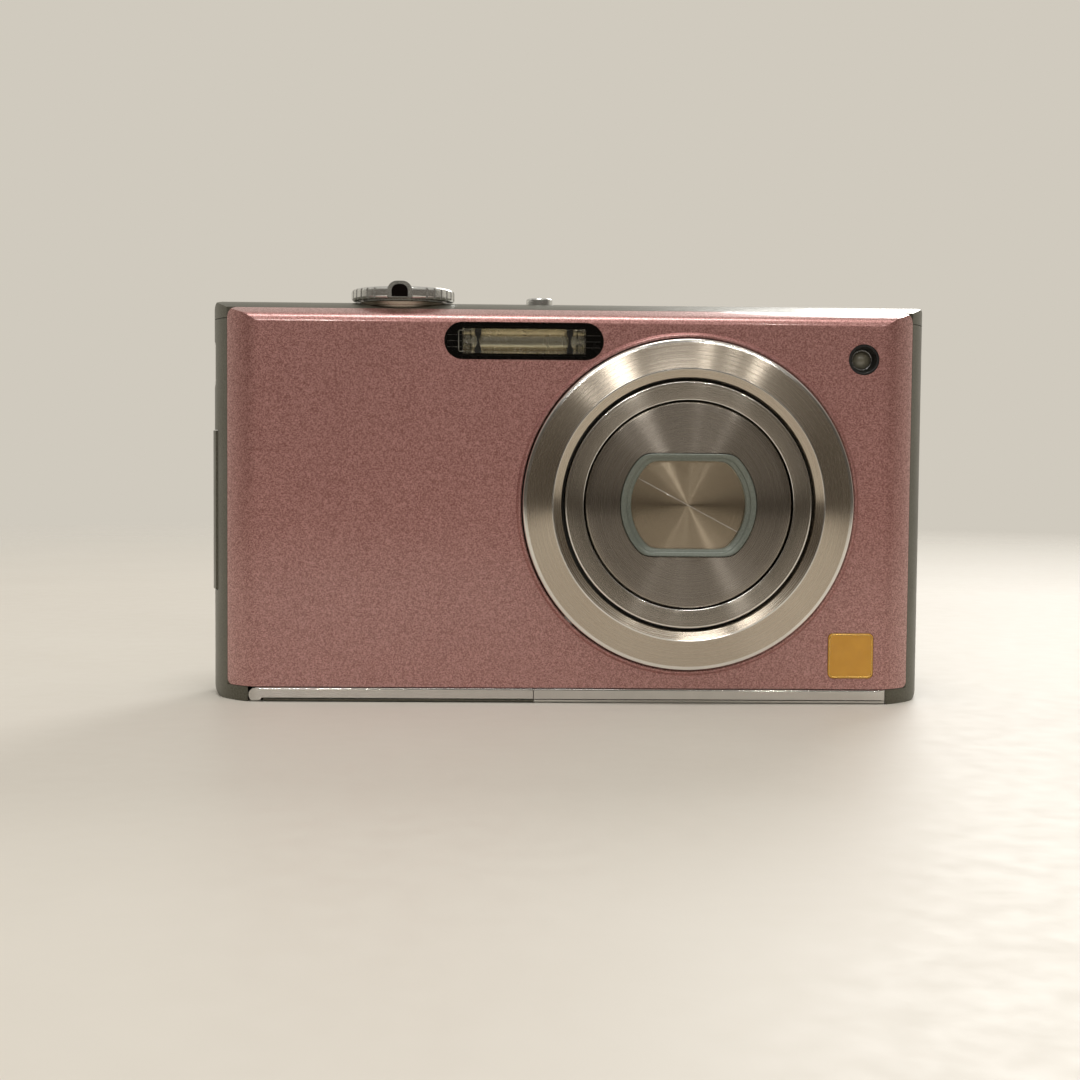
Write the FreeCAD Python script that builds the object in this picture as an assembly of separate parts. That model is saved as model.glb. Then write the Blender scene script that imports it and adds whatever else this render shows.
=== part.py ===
"""Compact digital camera with a two-stage retracting lens, as an assembly of separate pieces.

Units are millimetres.  X runs to the right seen from the front, Y from the front face to the
back, Z up.  While the pieces are made, y = 0 is the front face and x = 0 the middle of the
body; save() then moves everything so that the origin is the bottom centre of the whole box.
"""
import FreeCAD, Part
import math
import os

V = FreeCAD.Vector

# ---- body ------------------------------------------------------------------------------------
body_width = 94.9
body_depth = 19.8
wall = 0.9
end_flatness = 1.2          # how much the radius of the bulged ends is over half the depth
edge_round = 3.0            # vertical edges, between front or back and the ends
crown_drop = 2.3            # how far the domed top falls from its middle to the front face
crown_edge_round = 1.3      # between the front or back face and the domed top
base_edge_round = 0.5
corner_round = 2.0          # corners of the front view
seam_gap = 0.08             # between two shells
cover_depth = 2.7           # how far the front cover reaches back over the edges
cover_base = 2.0            # its lower edge
cover_top_corner = 1.4
cover_base_corner = 0.7
top_cover_height = 2.6      # from its lower edge up to the crown
back_seam = 13.4            # front edge of the rear cover
top_back_seam = 16.4        # the same along the top cover
web_thick = 0.6             # sheet across the middle frame
web_gap = 0.2               # from the sheet to the back seam
web_drop = 1.6              # from the top seam down to the sheet

# ---- lens ------------------------------------------------------------------------------------
ring_radius = 21.45
ring_to_end = 10.8          # from the ring to the +x end of the body
ring_over_cover = 2.55      # from the front cover's lower edge up to the ring
ring_to_crown = 4.95        # from the ring up to the crown
ring_width = 5.0            # across the ring's face
ring_proud = 1.8
ring_edge_round = 0.45
ring_band = 3.85            # from the rim in to the thin line before the bevel
ring_fall = 0.25            # the band leans back this much towards its rim
ring_bevel_fall = 0.5
ring_gap = 0.2              # around the ring, inside the lip of the cover
lip_width = 0.65
lip_height = 0.55
barrel_gap = 0.45           # ring to outer barrel
outer_wall = 1.0
outer_rim = 2.42            # width of the outer barrel's front face
rim_thick = 1.0
stage_gap = 0.25            # outer barrel's face to inner barrel
inner_wall = 0.63
face_thick = 0.7
flange_stop = 0.5           # left between flange and rim when the inner barrel is out
flange_play = 0.1
outer_face = 1.35           # how far the outer barrel's face stands before the front cover
inner_face = 1.25
barrel_hold = 1.15          # what stays in the cam ring when the outer barrel is out
outer_travel = 7.2
inner_travel = 8.4
face_round = 0.25

window_margin = 5.3         # from the inner barrel's bore in to the lens window
window_flat = 1.7           # what the window's flat sides cut off
frame_width = 1.38
frame_flat_width = 0.95     # the same along the flat sides
frame_step = 0.75           # width of the outer step of the window frame
frame_step_depth = 0.35
frame_proud = 0.2
frame_thick = 0.95
frame_play = 0.08

leaf_tilt = -28.0           # the seam between the leaves, degrees from level
leaf_overlap = 0.4          # of a leaf over the window's edge
leaf_thick = 0.3
leaf_play = 0.06
leaf_pivot_inset = 2.5      # of a pivot from the inner barrel's bore
leaf_pivot_up = 1.3
leaf_ear = 1.15
leaf_pin = 0.45
leaf_seam = 0.03            # half the gap between the leaves
leaf_open = 26.0

plate_thick = 0.6
plate_margin = 0.6          # of the hole behind the leaves over what they uncover
cell_radius_play = 0.05
cell_length = 5.9
front_lens_radius = 6.2
front_lens_thick = 2.6
front_lens_bulge = 1.1
group_lens_radius = 4.6
group_lens_thick = 1.8
group_lens_bulge = 0.5
shutter_thick = 1.4
shutter_hole = 2.6
shutter_inset = 2.2         # from the inner barrel's bore

cam_wall = 1.2
cam_play = 0.06
cam_start = 1.2
cam_overrun = 0.65          # from the barrel's back to the end of the cam ring
tooth_module = 0.5
tooth_rise = 0.49           # from the cam ring's outside to the teeth's pitch line
gear_teeth = 16
tooth_start = 1.6
tooth_thick = 1.2
tooth_slack = 0.12          # taken off each tooth's width
gear_angle = 225.0          # where the drive gear meets the cam ring, seen from the front
gear_bore = 0.75
motor_radius = 2.9
motor_length = 8.6
motor_shaft = 0.7
seat_margin = 1.0           # of the motor's seat around the motor
seat_rise = 4.0
housing_play = 0.1
housing_inset = 1.05        # from the lens ring's rim
housing_floor = 2.1
housing_front = 0.95
focus_width = 15.0
focus_height = 12.0
focus_thick = 0.8
focus_travel = 0.7
focus_play = 0.3
focus_lens_radius = 4.0
rod_radius = 0.5
rod_play = 0.05
rod_inset = 1.3
sensor_width = 17.0
sensor_height = 14.0
sensor_board = 0.9
sensor_glass_width = 8.4
sensor_glass_height = 6.6
sensor_glass_thick = 0.7
web_window_play = 0.8

# ---- flash, lamp and badge -------------------------------------------------------------------
flash_to_ring = 0.2         # from the window's lower corner to the lens ring
flash_drop = 5.4            # below the crown
flash_width = 20.6
flash_height = 4.83
flash_play = 0.06
flash_window_thick = 0.8
flash_set_back = 0.1
reflector_width = 15.9
reflector_height = 3.7
reflector_depth = 3.6
reflector_wall = 0.25
tube_share = 0.62           # how deep in the reflector the tube lies
tube_radius = 0.85
tube_end = 1.6              # how far the tube passes the reflector at each end
bezel_margin = 0.15
bezel_back = 0.5

lamp_to_end = 9.55          # from the +x end
lamp_drop = 7.4             # below the crown
lamp_radius = 2.0
lamp_play = 0.05
lamp_lens_radius = 1.3
lamp_depth = 3.4
lamp_set_back = 1.5
lamp_lens_thick = 1.2

badge_to_end = 10.65        # from the +x end
badge_z = 6.4
badge_size = 5.9
badge_round = 0.65
badge_thick = 0.5
badge_proud = 0.15
badge_play = 0.06

# ---- top controls ----------------------------------------------------------------------------
zoom_to_end = 25.15         # from the -x end
zoom_y = 9.0
zoom_radius = 6.87
zoom_thick = 1.65
zoom_gap = 0.1              # from the crown up to the ring
zoom_bore = 5.1
zoom_tab_width = 3.25
zoom_tab_out = 1.3
zoom_tab_rise = 0.5
zoom_turn = 20.0            # each way, until its lug meets the end of the gap in the dish
zoom_lug = 1.0
zoom_lug_drop = 0.8
zoom_play = 0.12
zoom_skirt = 1.5            # sleeve of the ring that turns in the dish
zoom_skirt_wall = 0.5
notch_count = 36
notch_radius = 0.17
dish_radius = 6.1
dish_base_radius = 5.5
dish_depth = 1.8            # below the crown
button_radius = 4.4
button_rise = 1.3           # over the underside of the zoom ring
button_stem = 1.4
button_travel = 0.8
button_dome = 0.35

small_button_share = 0.393  # of the way from the zoom ring to the speaker
small_button_y = 9.2
small_button_radius = 1.76
small_button_proud = 0.8
small_button_travel = 0.5
top_key_collar = 0.5        # wider foot that keeps a top button in
top_switch_thick = 0.7      # board under the top controls
top_board_front = 2.4       # from the zoom ring's axis
top_board_back = 3.9

power_share = 0.622         # of the way from the zoom ring to the speaker
power_y = 9.6
power_width = 4.6
power_depth = 3.0
power_travel = 3.2
power_play = 0.15
power_set_down = 0.1
power_foot = 0.7            # wider foot under the top cover
power_foot_thick = 0.7

speaker_to_end = 23.45      # from the +x end
speaker_y = 9.9
speaker_radius = 4.4
speaker_thick = 2.0
speaker_hole = 0.45
speaker_pitch = 1.7
mic_to_end = 12.95
mic_radius = 1.9
mic_thick = 1.3
mic_hole = 0.4
speaker_drop = 0.45         # below the inside of the crown, to clear the dome
mic_drop = 0.35

# ---- battery, card and door ------------------------------------------------------------------
battery_to_end = 7.75       # from the -x end
battery_to_ring = 0.45      # past the edge of the lens ring
bay_to_flash = 0.935        # from the top of the bay up to the flash's holder
battery_front = 2.0
battery_depth = 6.4
battery_round = 1.2
bay_play = 0.2
bay_wall = 0.7
card_inset = 9.0            # how much narrower the card is than the battery
card_depth = 2.1
card_height = 32.0
card_corner = 3.4
contact_count = 3
contact_width = 1.6
contact_pitch = 4.0
contact_length = 1.0
contact_inset = 1.5         # from the battery's faces
contact_gap = 0.02
door_thick = 1.3
door_margin = 1.1
door_play = 0.1
door_gap = 0.7              # from the door up to the battery
door_pin_radius = 0.45
door_knuckle = 0.9
door_pin_play = 0.05
knuckle_length = 3.6
knuckle_play = 0.15
trim_base = 0.5
trim_thick = 0.6
trim_to_end = 6.05          # from the bright strip to each end
latch_width = 5.2
latch_depth = 3.4
latch_thick = 0.45
latch_travel = 1.6
latch_play = 0.12
latch_foot = 0.6
latch_end = 3.0             # from the latch to the free end of the door

# ---- tripod socket and screws ----------------------------------------------------------------
tripod_to_end = 9.85        # from the +x end
tripod_y = 8.0
tripod_bore = 2.6
tripod_radius = 4.0
tripod_depth = 5.5
tripod_cap = 0.8
tripod_play = 0.05
screw_head = 1.15
screw_head_thick = 0.45
screw_shank = 0.55
screw_length = 3.4
screw_play = 0.06
screw_spread = (-9.2, 9.3)  # from the lens axis
screw_y = 8.0
lug_size = 3.4

# ---- side door, sockets and strap bar --------------------------------------------------------
side_door_base = 14.2
side_door_top = 35.2
side_door_front = 5.6
side_door_back = 14.6
side_door_thick = 0.8
side_door_proud = 0.2
side_door_gap = 0.3         # shadow gap at the free edge
side_door_play = 0.12
side_pin_radius = 0.35
side_knuckle = 0.65
socket_depth = 4.6
socket_wall = 0.3
socket_width = 3.6          # across the depth of the camera
socket_heights = (7.2, 5.4)
socket_gap = 2.4
socket_board = 0.7
strap_drop = 8.4            # below the crown
strap_y = 8.6
strap_height = 6.0
strap_width = 4.6
strap_depth = 3.2
strap_bar = 0.8
strap_wall = 0.6
strap_set_in = 0.9

# ---- back ------------------------------------------------------------------------------------
display_to_end = 8.25       # from the +x end
display_to_pad = 5.9
display_margin = 4.9        # above and below
display_rise = 0.4          # over the middle of the body
display_round = 1.5
display_window_thick = 1.1
display_play = 0.08
panel_margin = 1.0          # of the display window around the panel
panel_to_board = 1.55       # room for the board's parts
panel_gap = 0.15
main_board_thick = 0.8
main_board_gap = 0.3
main_board_end_gap = 7.95   # from the -x end
main_board_far_gap = 4.95   # from the +x end
main_board_base = 6.0
main_board_drop = 6.4       # below the crown
shield_height = 0.9
shield_inset = 15.5         # of the large shield from the board's -x end
shield_rise = 24.0          # of its middle over the board's lower edge
shield_size = (14.0, 12.0)
small_shield_spread = (-21.2, 14.8)  # of the two small shields from the lens axis
small_shield_rise = (10.0, 32.0)
small_shield_size = ((9.0, 9.0), (12.0, 8.0))
key_board_thick = 0.6
key_board_gap = 0.3         # below a key that is pressed in
key_proud = 0.35
key_foot = 0.5
key_foot_thick = 0.5
key_travel = 0.3
key_play = 0.12
pad_to_end = 16.45          # from the -x end
pad_z = 20.5
pad_outer = 8.3
pad_inner = 4.1
pad_split = 0.45            # half the gap between two cursor keys
center_key_radius = 3.3
small_key_radius = 2.1
small_key_drop = 13.6
small_key_spread = 6.6
dial_to_end = 13.95         # from the -x end
dial_drop = 11.2            # below the crown
dial_radius = 6.6
dial_thick = 2.2
dial_proud = 0.4
dial_play = 0.12
dial_pin = 1.2
dial_notches = 40
dial_notch = 0.18
mode_to_end = 25.95         # from the -x end
mode_drop = 8.0             # below the dial's middle
mode_width = 4.4
mode_height = 2.6
mode_round = 0.8
mode_travel = 3.0
mode_proud = 0.3
mode_foot = 0.6

capacitor_to_end = 6.45     # from the +x end
capacitor_radius = 3.6
capacitor_base = 9.5
capacitor_length = 30.0
capacitor_gap = 0.3         # to the middle frame's sheet, which carries it

# ---- values worked out from the above ---------------------------------------------------------
half_width = body_width / 2
half_depth = body_depth / 2
lens_x = half_width - ring_to_end - ring_radius
lens_z = cover_base + ring_over_cover + ring_radius
body_height = lens_z + ring_radius + ring_to_crown
top_seam = body_height - top_cover_height
end_radius = half_depth + end_flatness
crown_radius = (half_depth ** 2 + crown_drop ** 2) / (2 * crown_drop)
back_proud = max(dial_proud, key_proud, mode_proud)
origin_shift = V(side_door_proud / 2, (ring_proud - body_depth - back_proud) / 2, 0)

tube_y = wall + reflector_depth * tube_share
ring_line_radius = ring_radius - ring_band
outer_radius = ring_radius - ring_width - barrel_gap
outer_bore = outer_radius - outer_wall
inner_radius = outer_radius - outer_rim - stage_gap
inner_bore = inner_radius - inner_wall
window_radius = inner_bore - window_margin
window_half = window_radius - window_flat
frame_radius = window_radius + frame_width
frame_half = window_half + frame_flat_width
leaf_radius = window_radius + leaf_overlap
leaf_pivot_out = inner_bore - leaf_pivot_inset
shutter_radius = inner_bore - shutter_inset
barrel_back = cam_start + outer_travel + barrel_hold
flange_front = rim_thick - outer_face + inner_travel + flange_stop
leaf_front = face_thick - inner_face + leaf_play
leaf_clear = (leaf_pivot_out * math.sin(math.radians(leaf_open)) + leaf_seam
              - leaf_pivot_up * (1 - math.cos(math.radians(leaf_open))))
plate_hole = leaf_clear + plate_margin
plate_front = leaf_front + leaf_thick + leaf_play
cell_front = plate_front + plate_thick
shutter_front = cell_front + cell_length
cam_inner = outer_radius + cam_play
cam_outer = cam_inner + cam_wall
cam_teeth = round(2 * (cam_outer + tooth_rise) / tooth_module)
cam_pitch = cam_teeth * tooth_module / 2
gear_pitch = gear_teeth * tooth_module / 2
gear_distance = cam_pitch + gear_pitch
gear_x = lens_x + gear_distance * math.cos(math.radians(gear_angle))
gear_z = lens_z + gear_distance * math.sin(math.radians(gear_angle))
cam_end = barrel_back + cam_overrun
housing_radius = ring_radius - housing_inset
floor_front = cam_end + housing_play
floor_back = floor_front + housing_floor
focus_front = floor_back - focus_thick - sensor_glass_thick - focus_play

flash_z = body_height - flash_drop
flash_low = flash_z - flash_height / 2 - lens_z
flash_x = lens_x - math.sqrt((ring_radius + flash_to_ring) ** 2 - flash_low ** 2) - flash_width / 2
lamp_x = half_width - lamp_to_end
lamp_z = body_height - lamp_drop
badge_x = half_width - badge_to_end

zoom_x = zoom_to_end - half_width
zoom_base = body_height + zoom_gap
dish_base = body_height - dish_depth
button_top = zoom_base + button_rise
speaker_x = half_width - speaker_to_end
mic_x = half_width - mic_to_end
small_button_x = zoom_x + (speaker_x - zoom_x) * small_button_share
power_x = zoom_x + (speaker_x - zoom_x) * power_share

battery_left = battery_to_end - half_width
battery_right = lens_x - ring_radius - battery_to_ring
battery_width = battery_right - battery_left
battery_x = (battery_left + battery_right) / 2
card_width = battery_width - card_inset
trim_end = half_width - trim_to_end
tripod_x = half_width - tripod_to_end
screw_spots = [(lens_x + spread, screw_y) for spread in screw_spread]
strap_z = body_height - strap_drop
bay_left = battery_x - battery_width / 2 - bay_play - bay_wall
bay_right = battery_x + battery_width / 2 + bay_play + bay_wall
door_left = bay_left - door_margin
door_right = bay_right + door_margin
battery_base = door_thick + door_gap
bay_top = flash_z - flash_height / 2 - bezel_margin - bay_to_flash - bay_wall
battery_height = bay_top - contact_length - bay_play - battery_base
battery_back = battery_front + battery_depth
card_front = battery_back + 2 * bay_play + bay_wall
bay_front = battery_front - bay_play - bay_wall
bay_back = card_front + card_depth + bay_play + bay_wall
web_back = back_seam - web_gap
web_front = web_back - web_thick
capacitor_x = half_width - capacitor_to_end
capacitor_y = web_front - capacitor_gap - capacitor_radius
door_back = back_seam - door_play
door_axis_x = door_left + door_knuckle
door_axis_z = door_knuckle
pad_x = pad_to_end - half_width
dial_x = dial_to_end - half_width
dial_z = body_height - dial_drop
mode_x = mode_to_end - half_width
mode_z = dial_z - mode_drop
display_left = pad_x + pad_outer + display_to_pad
display_right = half_width - display_to_end
display_x = (display_left + display_right) / 2
display_z = body_height / 2 + display_rise
display_width = display_right - display_left
display_height = body_height - 2 * display_margin
panel_width = display_width - 2 * panel_margin
panel_height = display_height - 2 * panel_margin
main_board_left = main_board_end_gap - half_width
main_board_right = half_width - main_board_far_gap
main_board_top = body_height - main_board_drop
board_front = back_seam + main_board_gap
board_back = board_front + main_board_thick
glass_front = body_depth - display_window_thick
panel_back = glass_front - panel_gap
panel_thick = panel_back - board_back - panel_to_board
key_back = body_depth - wall
key_foot_front = key_back - key_foot_thick - key_play
key_board_back = key_foot_front - key_travel - key_board_gap


# ---- shapes ------------------------------------------------------------------------------------
def place_point(axis, level, u, v):
    """A point of an outline drawn square to an axis: (y, z), (x, z) or (x, y)."""
    return {"x": V(level, u, v), "y": V(u, level, v), "z": V(u, v, level)}[axis]


def outline(corners, axis, level):
    """A closed wire through (u, v) or (u, v, radius) corners, each rounded by its radius."""
    stops = []
    for index, corner in enumerate(corners):
        u, v = corner[:2]
        radius = corner[2] if len(corner) > 2 else 0
        if radius <= 0:
            stops.append(((u, v), None, (u, v)))
            continue
        before, after = corners[index - 1], corners[(index + 1) % len(corners)]
        to_before = V(before[0] - u, before[1] - v, 0).normalize()
        to_after = V(after[0] - u, after[1] - v, 0).normalize()
        half_angle = to_before.getAngle(to_after) / 2
        reach = radius / math.tan(half_angle)
        inward = (to_before + to_after).normalize()
        middle = inward * (radius / math.sin(half_angle) - radius)
        stops.append(((u + to_before.x * reach, v + to_before.y * reach),
                      (u + middle.x, v + middle.y),
                      (u + to_after.x * reach, v + to_after.y * reach)))
    edges = []
    for index, (start, middle, end) in enumerate(stops):
        if middle is not None:
            points = [place_point(axis, level, *point) for point in (start, middle, end)]
            edges.append(Part.Arc(*points).toShape())
        next_start = stops[(index + 1) % len(stops)][0]
        a, b = place_point(axis, level, *end), place_point(axis, level, *next_start)
        if a.distanceToPoint(b) > 1e-6:
            edges.append(Part.LineSegment(a, b).toShape())
    return Part.Wire(edges)


def prism(corners, axis, start, end):
    """An outline pushed along its axis from start to end."""
    direction = {"x": V(1, 0, 0), "y": V(0, 1, 0), "z": V(0, 0, 1)}[axis]
    return Part.Face(outline(corners, axis, start)).extrude(direction * (end - start))


def block(x0, x1, y0, y1, z0, z1):
    """A plain box between two corners."""
    return Part.makeBox(x1 - x0, y1 - y0, z1 - z0, V(x0, y0, z0))


def rounded(axis, u0, u1, v0, v1, radius, start, end):
    """A box with its four edges along the axis rounded."""
    radius = min(radius, (u1 - u0) / 2, (v1 - v0) / 2)
    corners = [(u0, v0, radius), (u1, v0, radius), (u1, v1, radius), (u0, v1, radius)]
    return prism(corners, axis, start, end)


def rod(axis, u, v, radius, start, end):
    """A cylinder along an axis."""
    direction = {"x": V(1, 0, 0), "y": V(0, 1, 0), "z": V(0, 0, 1)}[axis]
    return Part.makeCylinder(radius, end - start, place_point(axis, start, u, v), direction)


def tube(axis, u, v, outer, inner, start, end):
    """A cylinder with a bore."""
    return rod(axis, u, v, outer, start, end).cut(rod(axis, u, v, inner, start, end))


def turned_y(corners, x, z):
    """(radius, y) corners turned about an axis along Y."""
    moved = [(corner[0] + x,) + tuple(corner[1:]) for corner in corners]
    return Part.Face(outline(moved, "z", z)).revolve(V(x, 0, z), V(0, 1, 0), 360)


def turned_z(corners, x, y):
    """(radius, z) corners turned about an axis along Z."""
    moved = [(corner[0] + x,) + tuple(corner[1:]) for corner in corners]
    return Part.Face(outline(moved, "y", y)).revolve(V(x, y, 0), V(0, 0, 1), 360)


def around(shape, axis, u, v, angle):
    """A copy turned about a line along the axis, in degrees."""
    direction = {"x": V(1, 0, 0), "y": V(0, 1, 0), "z": V(0, 0, 1)}[axis]
    copy = shape.copy()
    copy.rotate(place_point(axis, 0, u, v), direction, angle)
    return copy


def lens_round(radius, start, end):
    """A cylinder on the lens axis."""
    return rod("y", lens_x, lens_z, radius, start, end)


def lens_flat(radius, half, start, end):
    """A cylinder on the lens axis, cut flat above and below."""
    slab = block(lens_x - radius, lens_x + radius, start, end, lens_z - half, lens_z + half)
    return lens_round(radius, start, end).common(slab)


def gear(teeth, bore, x, z, start, thick, first_angle):
    """A spur gear with straight-sided teeth, its first tooth at an angle from +X."""
    pitch = teeth * tooth_module / 2
    tip, root = pitch + 0.8 * tooth_module, pitch - 1.05 * tooth_module
    half = math.pi * tooth_module / 4 - tooth_slack / 2
    corners = []
    for index in range(teeth):
        angle = math.radians(first_angle) + 2 * math.pi * index / teeth
        for radius, side in ((root, -1.6 * half), (tip, -0.5 * half), (tip, 0.5 * half), (root, 1.6 * half)):
            turn = angle + side / radius
            corners.append((x + radius * math.cos(turn), z + radius * math.sin(turn)))
    return prism(corners, "y", start, start + thick).cut(rod("y", x, z, bore, start, start + thick))


def lens_element(radius, thick, bulge, front):
    """A lens with a domed front and a flat back."""
    sphere_radius = (radius ** 2 + bulge ** 2) / (2 * bulge)
    dome = Part.makeSphere(sphere_radius, V(lens_x, front + sphere_radius, lens_z))
    return lens_round(radius, front, front + thick).common(dome)


# ---- body shells -------------------------------------------------------------------------------
def bulged_side(half, bulge_radius, corner, top):
    """Tilt where corner and bulge meet, centre of the bulge, and where the flat side ends."""
    tilt = math.asin((half - corner) / (bulge_radius - corner))
    centre = top - bulge_radius
    flat_end = centre + (bulge_radius - corner) * math.cos(tilt)
    return tilt, centre, flat_end


def plan_block(inset):
    """The body's outline seen from above, with bulged ends, pushed up through the body."""
    tilt, centre, flat_end = bulged_side(half_depth, end_radius, edge_round, body_width / 2)
    corner, bulge = edge_round - inset, end_radius - inset
    edges = []

    def arc(cx, cy, radius, start, end):
        points = [V(cx + radius * math.cos(angle), cy + radius * math.sin(angle), 0)
                  for angle in (start, (start + end) / 2, end)]
        edges.append(Part.Arc(*points).toShape())

    def line(x0, y0, x1, y1):
        edges.append(Part.LineSegment(V(x0, y0, 0), V(x1, y1, 0)).toShape())

    near, far = edge_round, body_depth - edge_round
    line(-flat_end, inset, flat_end, inset)
    arc(flat_end, near, corner, -math.pi / 2, -tilt)
    arc(centre, half_depth, bulge, -tilt, tilt)
    arc(flat_end, far, corner, tilt, math.pi / 2)
    line(flat_end, body_depth - inset, -flat_end, body_depth - inset)
    arc(-flat_end, far, corner, math.pi / 2, math.pi - tilt)
    arc(-centre, half_depth, bulge, math.pi - tilt, math.pi + tilt)
    arc(-flat_end, near, corner, math.pi + tilt, 1.5 * math.pi)
    return Part.Face(Part.Wire(edges)).extrude(V(0, 0, body_height))


def side_block(inset):
    """The body's outline seen from the end, with its domed top, pushed through its width."""
    tilt, centre, flat_end = bulged_side(half_depth, crown_radius, crown_edge_round, body_height)
    corner, bulge = crown_edge_round - inset, crown_radius - inset
    low = max(base_edge_round - inset, 0.1)
    start = -body_width / 2
    edges = []

    def arc(cy, cz, radius, first, last):
        points = [V(start, cy + radius * math.sin(angle), cz + radius * math.cos(angle))
                  for angle in (first, (first + last) / 2, last)]
        edges.append(Part.Arc(*points).toShape())

    def line(y0, z0, y1, z1):
        edges.append(Part.LineSegment(V(start, y0, z0), V(start, y1, z1)).toShape())

    near, far = crown_edge_round, body_depth - crown_edge_round
    back = body_depth - inset
    arc(near, flat_end, corner, -math.pi / 2, -tilt)
    arc(half_depth, centre, bulge, -tilt, tilt)
    arc(far, flat_end, corner, tilt, math.pi / 2)
    line(back, flat_end, back, inset + low)
    arc(back - low, inset + low, low, math.pi / 2, math.pi)
    line(back - low, inset, inset + low, inset)
    arc(inset + low, inset + low, low, math.pi, 1.5 * math.pi)
    line(inset, inset + low, inset, flat_end)
    return Part.Face(Part.Wire(edges)).extrude(V(body_width, 0, 0))


def body_block(inset):
    """The whole body, taken in by a distance all round."""
    half = body_width / 2 - inset
    front = rounded("y", -half, half, inset, body_height - inset, corner_round - inset, 0, body_depth)
    return plan_block(inset).common(side_block(inset)).common(front)


body_outer = body_block(0)
body_inner = body_block(wall)
body_skin = body_outer.cut(body_inner)


def skin_part(x0, x1, y0, y1, z0, z1):
    """The part of the shell inside a box."""
    return body_skin.common(block(x0, x1, y0, y1, z0, z1))


def front_cover():
    """Painted front shell with the lens opening and its raised lip."""
    reach = body_width / 2
    shell = skin_part(-reach, reach, 0, cover_depth, cover_base, body_height)
    centre = reach - end_radius
    edge = centre + math.sqrt(end_radius ** 2 - (half_depth - cover_depth) ** 2)
    crown_centre = body_height - crown_radius
    top = crown_centre + math.sqrt(crown_radius ** 2 - (half_depth - cover_depth) ** 2)
    corners = [(-edge, cover_base, cover_base_corner), (edge, cover_base, cover_base_corner),
               (edge, top, cover_top_corner), (-edge, top, cover_top_corner)]
    shell = shell.common(prism(corners, "y", 0, cover_depth))
    hole = ring_radius + ring_gap
    lip = turned_y([(hole, wall), (hole, -lip_height, lip_height / 2),
                    (hole + lip_width * 0.45, -lip_height, lip_height / 2),
                    (hole + lip_width, 0), (hole + lip_width, wall)], lens_x, lens_z)
    shell = shell.fuse(lip).cut(lens_round(hole, -ring_proud, cover_depth))
    shell = shell.cut(flash_slot(0, 0, wall))
    shell = shell.cut(rod("y", lamp_x, lamp_z, lamp_radius, 0, wall))
    shell = shell.cut(badge_block(badge_play, 0, badge_thick - badge_proud))
    return shell.removeSplitter()


def base_cut(play):
    """Room for the battery door and its bright edge."""
    return block(door_left - play, door_right + play, 0, door_back + play, 0, battery_base)


def tripod_seat(radius, top):
    """Cylinder around the tripod socket."""
    return rod("z", tripod_x, tripod_y, radius, 0, top)


def screw_room():
    """Holes for the base screws."""
    holes = None
    for x, y in screw_spots:
        hole = rod("z", x, y, screw_head + screw_play, 0, screw_head_thick)
        hole = hole.fuse(rod("z", x, y, screw_shank + screw_play, 0, screw_length + screw_head_thick))
        holes = hole if holes is None else holes.fuse(hole)
    return holes


def mid_frame():
    """Grey frame: ends, base and the sheet across the middle that carries the inner parts."""
    reach = body_width / 2
    front = cover_depth + seam_gap
    frame = skin_part(-reach, reach, front, back_seam, 0, top_seam)
    corner_top = cover_base - seam_gap
    for x0, x1 in ((-reach, -trim_end - seam_gap), (trim_end + seam_gap, reach)):
        frame = frame.fuse(skin_part(x0, x1, 0, front, 0, corner_top))
    floor = block(trim_end * -1, trim_end, trim_thick + wall, front, 0, wall)
    frame = frame.fuse(floor.common(body_outer))
    web = body_inner.common(block(-reach, reach, web_front, web_back, 0, top_seam - web_drop))
    half_w = sensor_width / 2 + web_window_play
    half_h = sensor_height / 2 + web_window_play
    web = web.cut(block(lens_x - half_w, lens_x + half_w, web_front, web_back,
                        lens_z - half_h, lens_z + half_h))
    frame = frame.fuse(web)
    frame = frame.cut(base_cut(door_play)).cut(screw_room())
    frame = frame.cut(tripod_seat(tripod_radius - tripod_cap + tripod_play, wall))
    frame = frame.cut(side_door_room()).cut(side_pin()).cut(strap_room()).cut(latch_slot())
    frame = frame.cut(block(-reach, -side_inner_x(), web_front, web_back,
                            side_door_base, side_door_top))
    return frame.removeSplitter()


def side_inner_x():
    """Distance from the middle to the inner end of the side sockets."""
    return body_width / 2 - side_door_thick - socket_depth - socket_board


def rear_cover():
    """Back shell with the openings for the display, dial, switch and keys."""
    reach = body_width / 2
    shell = skin_part(-reach, reach, back_seam + seam_gap, body_depth, 0, top_seam)
    shell = shell.fuse(skin_part(-reach, reach, top_back_seam + seam_gap, body_depth, top_seam,
                                 body_height))
    shell = shell.cut(display_block(display_play, glass_front - seam_gap, body_depth))
    shell = shell.cut(rod("y", dial_x, dial_z, dial_radius + dial_play, key_back, body_depth))
    shell = shell.cut(mode_slot(mode_travel / 2 + key_play, key_play, key_back, body_depth))
    for x, z, radius in key_rounds():
        shell = shell.cut(rod("y", x, z, radius + key_play, key_back, body_depth))
    shell = shell.cut(rod("y", pad_x, pad_z, pad_outer + key_play, key_back, body_depth))
    cross = pad_cross(pad_split - key_play, key_back, body_depth)
    collar = tube("y", pad_x, pad_z, pad_inner - key_play, center_key_radius + key_play,
                  key_back, body_depth)
    shell = shell.fuse(cross).fuse(collar)
    shell = shell.cut(side_door_room()).cut(side_pin())
    return shell.removeSplitter()


def pad_cross(half, start, end):
    """The four ribs between the cursor keys."""
    ribs = None
    for angle in (45, 135, 225, 315):
        rib = block(pad_x + pad_inner - key_play - 0.05, pad_x + pad_outer + key_play + 0.05,
                    start, end, pad_z - half, pad_z + half)
        rib = around(rib, "y", pad_x, pad_z, angle)
        ribs = rib if ribs is None else ribs.fuse(rib)
    return ribs


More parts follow.
